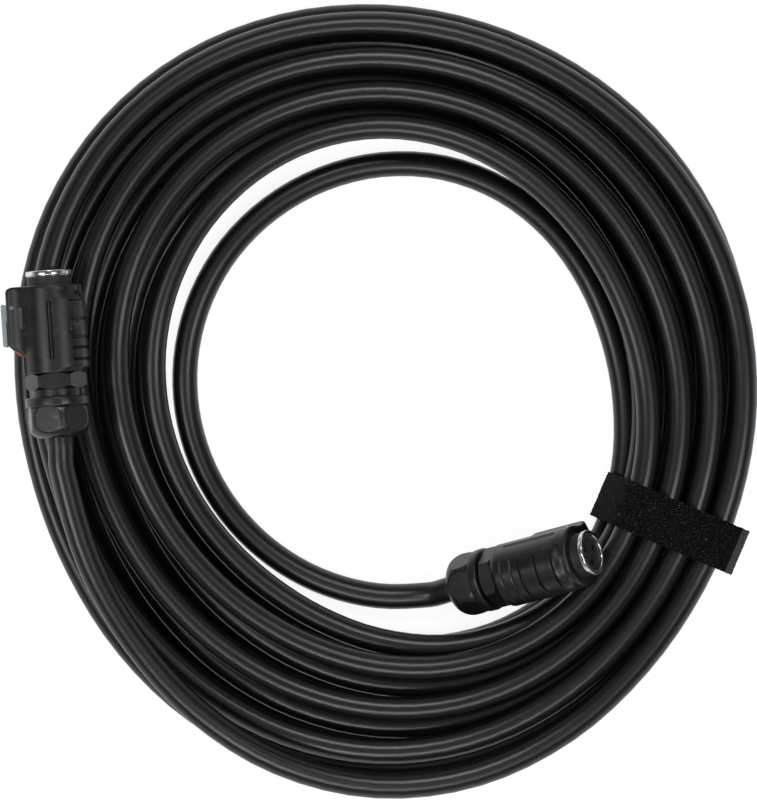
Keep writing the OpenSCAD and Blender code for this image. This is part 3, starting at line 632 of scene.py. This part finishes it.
# %% [markdown]
# ## The housing
#
# The grip is a round tube that swells a little opposite the latch. A hump for the latch grows out of it
# with soft hollows at its foot, as moulded parts have where two walls meet. The section is the joint
# outline of a disc, a second disc for the swelling and a rounded box for the hump, with their meeting
# eased. One ring of points is drawn out along the axis, station by station, and each point moves to that
# outline. Fine stations also give the grip's grooves, the side slots and the bare recess on each cheek.

# %% The housing's section
HEX_LEN = 8.5 * MM
THREAD_SHOWN = {"plug": 4 * MM, "socket": 0.6 * MM}
BODY_R, BODY_LEN, GRIP_OUT = 16.5 * MM, 46 * MM, 2 * MM
HUMP_H, HUMP_W, HUMP_REAR, SLOPE_LEN, HUMP_FRONT = 23 * MM, 17 * MM, 16 * MM, 7 * MM, 3 * MM
HUMP_START, HUMP_ROOT, HUMP_CORNER = BODY_R - 0.4 * MM, 4 * MM, 2 * MM
FOOT_EASE, LEAST_EASE = 6 * MM, 0.01 * MM
GRIP_FROM, GRIP_SHORT, GRIP_RISE, GRIP_FALL = 0.5 * MM, 3 * MM, 3 * MM, 5 * MM


def box_gap(x, y, half_x, half_y, corner):
    """Distance from a rounded box round the origin, less than nothing inside it."""
    dx, dy = abs(x) - half_x + corner, abs(y) - half_y + corner
    return math.hypot(max(dx, 0), max(dy, 0)) + min(max(dx, dy), 0) - corner


def hump_height(z):
    """Height of the hump over the axis, with its slope at the rear and its rounded front."""
    if z > BODY_LEN - HUMP_FRONT:
        past = z - BODY_LEN + HUMP_FRONT
        return HUMP_H - HUMP_FRONT + math.sqrt(max(0, HUMP_FRONT ** 2 - past ** 2))
    return HUMP_START + (HUMP_H - HUMP_START) * smooth((z - HUMP_REAR + SLOPE_LEN) / SLOPE_LEN)


def section_gap(x, y, z):
    """Distance from the housing's outline in its section at z."""
    disc = math.hypot(x, y) - BODY_R
    if GRIP_FROM < z < BODY_LEN - GRIP_SHORT:
        out = GRIP_OUT * min(smooth(z / GRIP_RISE), smooth((BODY_LEN - GRIP_SHORT - z) / GRIP_FALL))
        disc = min(disc, math.hypot(x, y + out) - BODY_R)
    top = hump_height(z)
    hump = box_gap(x, y - (top + HUMP_ROOT) / 2, HUMP_W / 2, (top - HUMP_ROOT) / 2, HUMP_CORNER)
    ease = FOOT_EASE * smooth((z - HUMP_REAR + SLOPE_LEN) / SLOPE_LEN) + LEAST_EASE
    return min(disc, hump) - max(ease - abs(disc - hump), 0) ** 2 / (4 * ease)


# %% The housing's shallow detail
GROOVES_AT = [8.5 * MM, 18.5 * MM, 28 * MM, 33.5 * MM, 39.5 * MM]
GROOVE_W, GROOVE_DEPTH, GROOVE_EDGE, GROOVED_BELOW = 1.1 * MM, 0.7 * MM, 0.2 * MM, -10.2 * MM
SCALE_STEP = 0.3 * MM
SLOT_AT, SLOT_HALF_W, SLOT_HALF_LEN, SLOT_DEPTH = 23.5 * MM, 1.05 * MM, 15.5 * MM, 0.6 * MM
RIB_HALF_W, RIB_HALF_LEN, RIB_RISE, SLOT_EDGE = 0.5 * MM, 14.9 * MM, 0.5 * MM, 0.12 * MM
RECESS_AT, RECESS_HALF, RECESS_CORNER = (12.8 * MM, 17 * MM), (2.9 * MM, 6 * MM), 1 * MM
RECESS_DEPTH, RECESS_EDGE = 0.45 * MM, 0.2 * MM
REAR_ROUND, FRONT_ROUND = 0.6 * MM, 1.2 * MM
SEARCH_FROM, SEARCH_TO, HALVINGS = 8 * MM, 30 * MM, 22


def dip(gap, soft):
    """1 inside an outline, 0 outside, with a soft edge."""
    return 1 - smooth((gap + soft) / (2 * soft))


def housing_radius(angle, z):
    """How far the housing's skin lies from the axis in a direction, at z."""
    x, y = math.cos(angle), math.sin(angle)
    low, high = SEARCH_FROM, SEARCH_TO
    for _ in range(HALVINGS):
        middle = (low + high) / 2
        if section_gap(x * middle, y * middle, z) > 0:
            high = middle
        else:
            low = middle
    across_y, cut = y * low, 0
    from_front = BODY_LEN - z
    grooved = smooth((GROOVED_BELOW - across_y) / MM)
    for i, at in enumerate(GROOVES_AT):
        cut += GROOVE_DEPTH * dip(abs(from_front - at) - GROOVE_W / 2, GROOVE_EDGE) * grooved
        till = GROOVES_AT[i + 1] if i + 1 < len(GROOVES_AT) else BODY_LEN
        if at < from_front < till:
            cut += SCALE_STEP * (1 - (from_front - at) / (till - at)) * grooved
    slot = box_gap(across_y, from_front - SLOT_AT, SLOT_HALF_W, SLOT_HALF_LEN, SLOT_HALF_W)
    rib = box_gap(across_y, from_front - SLOT_AT, RIB_HALF_W, RIB_HALF_LEN, RIB_HALF_W)
    cut += SLOT_DEPTH * dip(slot, SLOT_EDGE) - RIB_RISE * dip(rib, SLOT_EDGE)
    recess = box_gap(across_y - RECESS_AT[0], from_front - RECESS_AT[1], *RECESS_HALF, RECESS_CORNER)
    cut += RECESS_DEPTH * dip(recess, RECESS_EDGE)
    for edge, reach_in in ((REAR_ROUND, z), (FRONT_ROUND, from_front)):
        if reach_in < edge:
            cut += edge - math.sqrt(edge ** 2 - (edge - reach_in) ** 2)
    return low - cut


# %% The housing's skin
def housing_skin(stations, points):
    """The closed outside of the housing, drawn out ring by ring."""
    bm = bmesh.new()
    bmesh.ops.create_circle(bm, segments=points, radius=BODY_R)
    ring = list(bm.edges)
    for i, z in enumerate(stations):
        if i:
            grown = bmesh.ops.extrude_edge_only(bm, edges=ring)["geom"]
            ring = [e for e in grown if isinstance(e, bmesh.types.BMEdge)]
        for v in {v for e in ring for v in e.verts}:
            angle = math.atan2(v.co.y, v.co.x)
            r = housing_radius(angle, z)
            v.co = (r * math.cos(angle), r * math.sin(angle), z)
    bmesh.ops.holes_fill(bm, edges=[e for e in bm.edges if e.is_boundary], sides=0)
    bmesh.ops.recalc_face_normals(bm, faces=bm.faces)
    return bm


def block(low, high):
    """A box between two corners."""
    bm = bmesh.new()
    bmesh.ops.create_cube(bm, size=1)
    for v in bm.verts:
        v.co = [a + (b - a) * (c + 0.5) for a, b, c in zip(low, high, v.co)]
    return bm


def carved(name, bm, cutters):
    """A bmesh with the cutters' volumes taken out. It uses up the bmesh and the cutters."""
    mesh = bpy.data.meshes.new(name)
    bm.to_mesh(mesh)
    bm.free()
    solid = bpy.data.objects.new(name, mesh)
    bpy.context.scene.collection.objects.link(solid)
    helpers = []
    for cutter in cutters:
        tool = bpy.data.objects.new("cutter", bpy.data.meshes.new("cutter"))
        cutter.to_mesh(tool.data)
        cutter.free()
        bpy.context.scene.collection.objects.link(tool)
        cut = solid.modifiers.new("cut", "BOOLEAN")
        cut.object = tool
        helpers.append(tool)
    bpy.context.view_layer.update()
    done = bmesh.new()
    done.from_object(solid, bpy.context.evaluated_depsgraph_get())
    for used in (solid, *helpers):
        bpy.data.meshes.remove(used.data)
    return done


# %% The housing's openings
SKIN_STEP, SKIN_POINTS, RIM_STEPS = 0.4 * MM, 240, (0.06 * MM, 0.2 * MM)
BORE_STEPS, HINGE_STEPS = 96, 32
SPIGOT_R, SPIGOT_END, CHAMBER_R, WALL_FROM = 13.05 * MM, 9.3 * MM, 12.4 * MM, 32 * MM
SLEEVE_R, SLEEVE_SEAT, PAST_END = 11.2 * MM, 0.05 * MM, 1 * MM
HINGE_Y, HINGE_Z, HINGE_R, HINGE_LEN = 20 * MM, 35.2 * MM, 1.03 * MM, 40 * MM
POCKET_HALF_W, POCKET_FLOOR, POCKET_FROM, POCKET_TO = 5.75 * MM, 15.2 * MM, 13.8 * MM, 37.8 * MM
TUNNEL_LOW, TUNNEL_TOP, TUNNEL_FROM, TUNNEL_TO = 12.7 * MM, 19.8 * MM, 37.2 * MM, 50 * MM
CATCH_HALF_W, CATCH_FROM, CATCH_TO, PAST_HUMP = 4.15 * MM, 9.6 * MM, 15 * MM, 30 * MM


def housing_bores():
    """The gland's seat, the wiring chamber and the sleeve's seat, as one spun cutter."""
    seat_r = SLEEVE_R + SLEEVE_SEAT
    return spun([(0, -PAST_END), (SPIGOT_R, -PAST_END), (SPIGOT_R, SPIGOT_END), (CHAMBER_R, SPIGOT_END),
                 (CHAMBER_R, WALL_FROM), (seat_r, WALL_FROM), (seat_r, BODY_LEN + PAST_END),
                 (0, BODY_LEN + PAST_END)], BORE_STEPS)


def hinge_hole():
    """The hinge pin's hole, straight across both cheeks of the hump."""
    bm = bmesh.new()
    across_hump = Matrix.Translation((0, HINGE_Y, HINGE_Z)) @ Matrix.Rotation(math.pi / 2, 4, "Y")
    bmesh.ops.create_cone(bm, cap_ends=True, segments=HINGE_STEPS, radius1=HINGE_R, radius2=HINGE_R,
                          depth=HINGE_LEN, matrix=across_hump)
    return bm


def housing_frame(side):
    """Matrix to the set's frame from a housing's own, with Z along its axis from its rear face."""
    return FRAMES[side] @ Matrix.Translation((0, 0, NUT_LEN + THREAD_SHOWN[side] + HEX_LEN))


stations = [0, *RIM_STEPS, *(i * SKIN_STEP for i in range(1, round(BODY_LEN / SKIN_STEP)))]
stations += [BODY_LEN - step for step in reversed(RIM_STEPS)] + [BODY_LEN]
carvers = [
    hinge_hole(),
    housing_bores(),
    block((-POCKET_HALF_W, POCKET_FLOOR, POCKET_FROM), (POCKET_HALF_W, PAST_HUMP, POCKET_TO)),
    block((-POCKET_HALF_W, TUNNEL_LOW, TUNNEL_FROM), (POCKET_HALF_W, TUNNEL_TOP, TUNNEL_TO)),
    block((-CATCH_HALF_W, POCKET_FLOOR, CATCH_FROM), (CATCH_HALF_W, PAST_HUMP, CATCH_TO)),
]
shell = carved("housing_shell", housing_skin(stations, SKIN_POINTS), carvers)
closed = all(e.is_manifold for e in shell.edges)
print("housing", len(shell.faces), "faces,", "closed" if closed else "open")
for side in SIDES:
    bm = shell.copy()
    bmesh.ops.transform(bm, matrix=housing_frame(side), verts=bm.verts)
    new_piece(side + "_housing_shell", bm, FINISH["housing_plastic"], "root",
              side + "_housing")
shell.free()

# %% [markdown]
# ## The nose
#
# A turned and plated ring stands out of the housing on a sleeve, with a dark rubber neck behind it. Both
# are round all over, so each is a profile spun about the axis. The ring's rims are rounded over, and the
# neck is slightly waisted.

# %% The nose
NECK_END, NOSE_END = 51 * MM, 53.6 * MM
RING_R, BORE_R, NECK_R = 12.1 * MM, 9.6 * MM, 11.9 * MM
RIM, RIM_ARC, NOSE_STEPS = 0.5 * MM, 5, 128
NECK_SEAT, NECK_GAP, WAIST_AT, WAIST_IN = 0.03 * MM, 0.02 * MM, 2.4 * MM, 0.3 * MM
RING_GAP = 0.3 * MM


def ring_profile():
    """Outline of half the ring's section, with its sleeve and its three rounded rims."""
    sleeve = [(BORE_R, WALL_FROM), (SLEEVE_R, WALL_FROM), (SLEEVE_R, NECK_END)]
    rear = arc((RING_R - RIM, NECK_END + RIM), (RIM, RIM), -90, 0, RIM_ARC)
    front = arc((RING_R - RIM, NOSE_END - RIM), (RIM, RIM), 0, 90, RIM_ARC)
    inner = arc((BORE_R + RIM, NOSE_END - RIM), (RIM, RIM), 90, 180, RIM_ARC)
    return sleeve + rear + front + inner


def neck_profile():
    """Outline of half the neck's section, which is slightly waisted."""
    seat_r, end = SLEEVE_R + NECK_SEAT, NECK_END - RING_GAP
    return [(seat_r, BODY_LEN + NECK_GAP), (NECK_R, BODY_LEN + NECK_GAP),
            (NECK_R - WAIST_IN, BODY_LEN + WAIST_AT), (NECK_R, end), (seat_r, end)]


NOSE_PARTS = {
    "front_ring": (ring_profile(), "nose_metal"),
    "nose_seal": (neck_profile(), "seal_rubber"),
}
for side in SIDES:
    for part, (profile, slot) in NOSE_PARTS.items():
        bm = spun(profile, NOSE_STEPS)
        bmesh.ops.transform(bm, matrix=housing_frame(side), verts=bm.verts)
        new_piece(f"{side}_{part}_piece", bm, FINISH[slot], "root", f"{side}_{part}")
print("noses spun")

# %% [markdown]
# ## The strap
#
# A hook-and-loop tie is one strip of woven tape with a brushed pile of loops on its outside. It starts
# under itself on top of the bundle, goes right round, and is pressed down on its own start, with a short
# tail left standing out. The strip's path is the hull of the turns that it holds, in the plane across the
# bundle. A grid is wrapped on that path, given thickness, and its pile is raised by noise.

# %% The strap's path
STRAP_W, STRAP_ROOM, TAIL_OUT = 25 * MM, 0.4 * MM, 9 * MM
FLAT_LEN, FLAT_BACK = 36 * MM, 12 * MM
DOTS = 32
held = []
for i in range(LAST_RING):
    off = (ring_angle(i) - RING_STEP / 2 - STRAP_ANGLE) % 360
    if min(off, 360 - off) < 1:
        half = STRAP_W / 2 / ((lanes[i] + lanes[i + 1]) * cosd(90 - RING_STEP / 2))
        for share in (0.5 - half, 0.5, 0.5 + half):
            for bow in (cosd(RING_STEP / 2), 1):
                held.append(((lanes[i] * (1 - share) + lanes[i + 1] * share) * bow,
                             eased[i] * (1 - share) + eased[i + 1] * share))
reach = CABLE_R + STRAP_ROOM
strap_top = max(z for _, z in held) + reach
strap_far = max(r for r, _ in held) + reach
strap_near = min(r for r, _ in held) - reach
strap_mid = (strap_near + strap_far) / 2
flat_from = strap_mid - FLAT_BACK
last_dot = 360 * (DOTS - 1) / DOTS
dots = [p for r, z in held for p in arc((r, z), (reach + STRAP_T / 2,) * 2, 0, last_dot, DOTS - 1)]
dots += [(flat_from, strap_top + STRAP_T / 2), (flat_from + FLAT_LEN, strap_top + STRAP_T / 2)]
hull = [Vector(dots[i]) for i in geometry.convex_hull_2d([Vector(d) for d in dots])]
if sum(a.cross(b) for a, b in zip(hull, hull[1:] + hull[:1])) > 0:
    hull.reverse()
reached = [round(length / MM, 1) for length in (strap_near, strap_far, strap_top)]
print("strap from", reached[0], "to", reached[1], "mm, top", reached[2])


def evenly(line, step):
    """The same line with its points this far apart along it."""
    spaced, left = [line[0]], step
    for a, b in zip(line, line[1:]):
        long = (b - a).length
        while left <= long:
            spaced.append(a.lerp(b, left / long))
            left += step
        left -= long
    return spaced


# %% The strap's overlap and tail
HULL_STEP, PATH_STEP, LEAN_POINTS = 0.5 * MM, 0.7 * MM, 20
RAMP, RAMP_SHORT, LAPPED = 34 * MM, 2 * MM, 1.1 * STRAP_T
TOP_BAND, TAIL_DROP, TAIL_SHORT = 6 * MM, 0.8 * MM, 0.2 * MM
SOFT_TURN, SOFTENINGS = 5, 3

around = evenly(hull + hull[:1], HULL_STEP)
first = min(range(len(around)), key=lambda k: abs(around[k].x - strap_mid) - around[k].y)
around = around[first:] + around[1:first]
near = sorted((p for p in around if p.x < strap_mid and p.y > strap_top - TOP_BAND), key=lambda p: p.x)
once = [p for p in around if p not in near]
ramp_end = strap_mid - RAMP_SHORT
climb = [Vector((p.x, p.y + LAPPED * smooth(1 - (ramp_end - p.x) / RAMP))) for p in near]
tail_end = Vector((strap_far + STRAP_T + TAIL_OUT - TAIL_SHORT, climb[-1].y - TAIL_DROP))
lean = [climb[-1].lerp(tail_end, k / LEAN_POINTS) for k in range(1, LEAN_POINTS + 1)]
strap_path = evenly(once + climb + lean, PATH_STEP)
for _ in range(SOFTENINGS):
    spans = [strap_path[max(0, k - SOFT_TURN):k + SOFT_TURN + 1] for k in range(len(strap_path))]
    strap_path = [sum(span, Vector((0, 0))) / len(span) for span in spans]
print("strap path", round(PATH_STEP * len(strap_path) / MM), "mm")


# %% Loop pile
LOOP, PILE_PATCH, LINT, THREAD = 0.65 * MM, 9 * MM, 1.3 * MM, 0.9 * MM


def loop_pile():
    """Black nylon loop pile: matt, a soft sheen from the side, painted sheen on its highest loops, and lint."""
    material, output = new_material("strap_loop_pile")
    place = add_node(material, "TexCoord").outputs["Object"]
    loops = add_node(material, "TexNoise", {"Vector": place, "Scale": 1 / LOOP, "Detail": 4.0})
    patches = add_node(material, "TexNoise", {"Vector": place, "Scale": 1 / PILE_PATCH, "Detail": 3.0})
    lint = add_node(material, "TexNoise", {"Vector": place, "Scale": 1 / LINT, "Detail": 1.0})
    # The highest loops are painted pale grey: a painted sheen where the raised loops catch the light.
    tone = add_node(material, "ValToRGB", {"Fac": loops.outputs[0]},
                    stops=[(0.42, "#010101"), (0.58, "#060606"), (0.75, "#4b4c4e")])
    worn = add_node(material, "ValToRGB", {"Fac": patches.outputs[0]},
                    stops=[(0.45, "#000000"), (0.75, "#0a0a0a")])
    mixed = add_node(material, "Mix", {0: worn.outputs[0], 6: tone.outputs[0], 7: "#3a3b3c"},
                     data_type="RGBA")
    dots = add_node(material, "ValToRGB", {"Fac": lint.outputs[0]},
                    stops=[(0.76, "#000000"), (0.79, "#c0c0c0")])
    colour = add_node(material, "Mix", {0: dots.outputs[0], 6: mixed.outputs[2], 7: "#a8aaaa"},
                      data_type="RGBA")
    bump = add_node(material, "Bump", {
        "Height": loops.outputs[0], "Strength": 0.9, "Distance": 0.5 * MM})
    return finish_with(material, output, Base_Color=colour.outputs[2], Roughness=0.95,
                       Specular_IOR_Level=0.12, Sheen_Weight=0.02, Normal=bump.outputs[0])


def hook_weave():
    """Free woven back: greyer, flatter, a thread grid with a painted highlight on top, painted shade between."""
    material, output = new_material("strap_hook_weave")
    place = add_node(material, "TexCoord").outputs["Object"]
    turned = add_node(material, "Mapping", {
        "Vector": place, "Rotation": (0, 0, math.radians(-STRAP_ANGLE)), "Scale": (1, 1, 0.2)})
    threads = add_node(material, "TexVoronoi", {"Vector": turned.outputs[0], "Scale": 1 / THREAD})
    # Each thread is painted paler on its raised crown and darker towards its edges: a painted highlight, and
    # painted shade between threads.
    tone = add_node(material, "ValToRGB", {"Fac": threads.outputs["Distance"]},
                    stops=[(0.1, "#3b3f3e"), (0.6, "#161818")])
    bump = add_node(material, "Bump", {
        "Height": threads.outputs["Distance"], "Strength": 0.7, "Distance": -0.3 * MM})
    return finish_with(material, output, Base_Color=tone.outputs[0], Roughness=0.7,
                       Normal=bump.outputs[0])


# %% The strap
OUTWARD = Vector((cosd(STRAP_ANGLE), cosd(STRAP_ANGLE - 90), 0))
SIDEWAYS = Vector((-OUTWARD.y, OUTWARD.x, 0))
RAGGED, RAGGED_STEP, EDGE_SEEDS = 0.35 * MM, 0.35, (3, 7)
TAPE_SHARE, TUFT, PILE_RELIEF = 0.85, 1.2 * MM, 0.35 * MM
OFF_FLOOR, BACK_SHOWS_FROM = 0.05 * MM, 1.5 * MM


def strap_grid(path, width, step):
    """A grid wrapped along a path of (radius, z) points in the strap's direction, with ragged edges."""
    across_n, along_n = round(width / step), len(path) - 1
    bm = bmesh.new()
    bmesh.ops.create_grid(bm, x_segments=along_n, y_segments=across_n, size=0.5)
    for v in bm.verts:
        k = round((v.co.x + 0.5) * along_n)
        w = v.co.y * width
        ragged = noise.noise(Vector((k * RAGGED_STEP, EDGE_SEEDS[int(w > 0)], 0))) * RAGGED
        aside = SIDEWAYS * (w * (1 + ragged / width * 2))
        v.co = SET_SHIFT + OUTWARD * path[k].x + aside + Vector((0, 0, path[k].y))
    return bm


bm = strap_grid(strap_path, STRAP_W, PATH_STEP)
bmesh.ops.recalc_face_normals(bm, faces=bm.faces)
bmesh.ops.solidify(bm, geom=bm.faces, thickness=STRAP_T * TAPE_SHARE)
bmesh.ops.recalc_face_normals(bm, faces=bm.faces)
bm.normal_update()
raised = {v: v.normal * noise.noise(v.co / TUFT) * PILE_RELIEF for v in bm.verts}
for v, step in raised.items():
    v.co += step
    v.co.z = max(v.co.z, OFF_FLOOR)
tail_from = strap_far + STRAP_T + BACK_SHOWS_FROM
for face in bm.faces:
    face.material_index = int((face.calc_center_median() - SET_SHIFT).dot(OUTWARD) > tail_from)
strap = new_piece("tie_strap_pile", bm, loop_pile(), "root", "tie_strap")
strap.data.materials.append(hook_weave())
for polygon in strap.data.polygons:
    polygon.use_smooth = True
print("strap", len(strap.data.polygons), "faces")


# %% [markdown]
# ## Floor and light
#
# Black rubber shows almost nothing but what it mirrors, so the room matters more than the lamps. Where a
# camera or a mirror ray meets the floor, it glows white, with a fifth of matt paint left in the mix so that
# it keeps some shadow. To other rays it is matt paint alone. The world is a cove, pale low down and dim
# overhead. Four narrow panels hang well beyond the four sides of the picture and draw the long highlights,
# and a low strip adds a faint last one.

# %% Floor and light
GLOW_SHARE, GLOW = 0.8, 1.12
DIM_FROM = 0.45


def floor_white():
    """Matt white floor that a camera and gloss see nearly as plain white, and that keeps some shadow."""
    material, output = new_material("floor_white")
    path = add_node(material, "LightPath")
    seen = add_node(material, "Math", {0: path.outputs["Is Camera Ray"], 1: path.outputs["Is Glossy Ray"]},
                    operation="ADD")
    through = add_node(material, "Math", {0: seen.outputs[0], 1: path.outputs["Is Transmission Ray"]},
                       operation="ADD", use_clamp=True)
    share = add_node(material, "Math", {0: through.outputs[0], 1: GLOW_SHARE}, operation="MULTIPLY")
    paint = add_node(material, "BsdfDiffuse", {"Color": "#f4f4f4"})
    glow = add_node(material, "Emission", {"Color": "#ffffff", "Strength": GLOW})
    mix = add_node(material, "MixShader", {
        0: share.outputs[0], 1: paint.outputs[0], 2: glow.outputs[0]})
    material.node_tree.links.new(mix.outputs[0], output.inputs["Surface"])
    return material


def room_light(low, high):
    """A cove for a world: pale low down and dim overhead."""
    world = bpy.data.worlds.new("room")
    world.use_nodes = True
    tree = world.node_tree
    tree.nodes.clear()
    out = tree.nodes.new("ShaderNodeOutputWorld")
    place = tree.nodes.new("ShaderNodeTexCoord")
    parts = tree.nodes.new("ShaderNodeSeparateXYZ")
    level = tree.nodes.new("ShaderNodeMapRange")
    level.interpolation_type = "SMOOTHSTEP"
    paint = tree.nodes.new("ShaderNodeBackground")
    for name, value in {"From Min": 0.0, "From Max": DIM_FROM, "To Min": low, "To Max": high}.items():
        level.inputs[name].default_value = value
    tree.links.new(place.outputs["Generated"], parts.inputs[0])
    tree.links.new(parts.outputs["Z"], level.inputs["Value"])
    tree.links.new(level.outputs[0], paint.inputs["Strength"])
    tree.links.new(paint.outputs[0], out.inputs["Surface"])
    bpy.context.scene.world = world


def panel(name, place, size, power):
    """A soft lamp panel at a place, turned to the origin."""
    lamp = bpy.data.lights.new(name, "AREA")
    lamp.shape = "RECTANGLE"
    lamp.size, lamp.size_y = size
    lamp.energy = power
    made = bpy.data.objects.new(name, lamp)
    bpy.context.scene.collection.objects.link(made)
    made.location = place
    made.rotation_mode = "QUATERNION"
    made.rotation_quaternion = (-Vector(place)).to_track_quat("-Z", "Y")


mesh = bpy.data.meshes.new("floor")
ground = bmesh.new()
bmesh.ops.create_grid(ground, x_segments=1, y_segments=1, size=SEES_AS_FAR_AS)
ground.to_mesh(mesh)
ground.free()
floor = bpy.data.objects.new("floor", mesh)
bpy.context.scene.collection.objects.link(floor)
floor.data.materials.append(floor_white())
room_light(0.95, 0.09)
panel("left_softbox", (-1.5, -0.4, 2.3), (0.45, 1.1), 17)
panel("right_softbox", (1.35, -0.25, 2.5), (0.4, 1.1), 16)
panel("back_softbox", (0.1, 1.45, 2.3), (1.3, 0.45), 22)
panel("front_softbox", (0.1, -1.5, 2.2), (1.3, 0.4), 15)
panel("low_strip", (-0.45, -0.95, 1.25), (0.7, 0.1), 3)
bpy.context.scene.view_settings.view_transform = "Standard"

# %% [markdown]
# ## The finish

# %% The finish
print("finished")
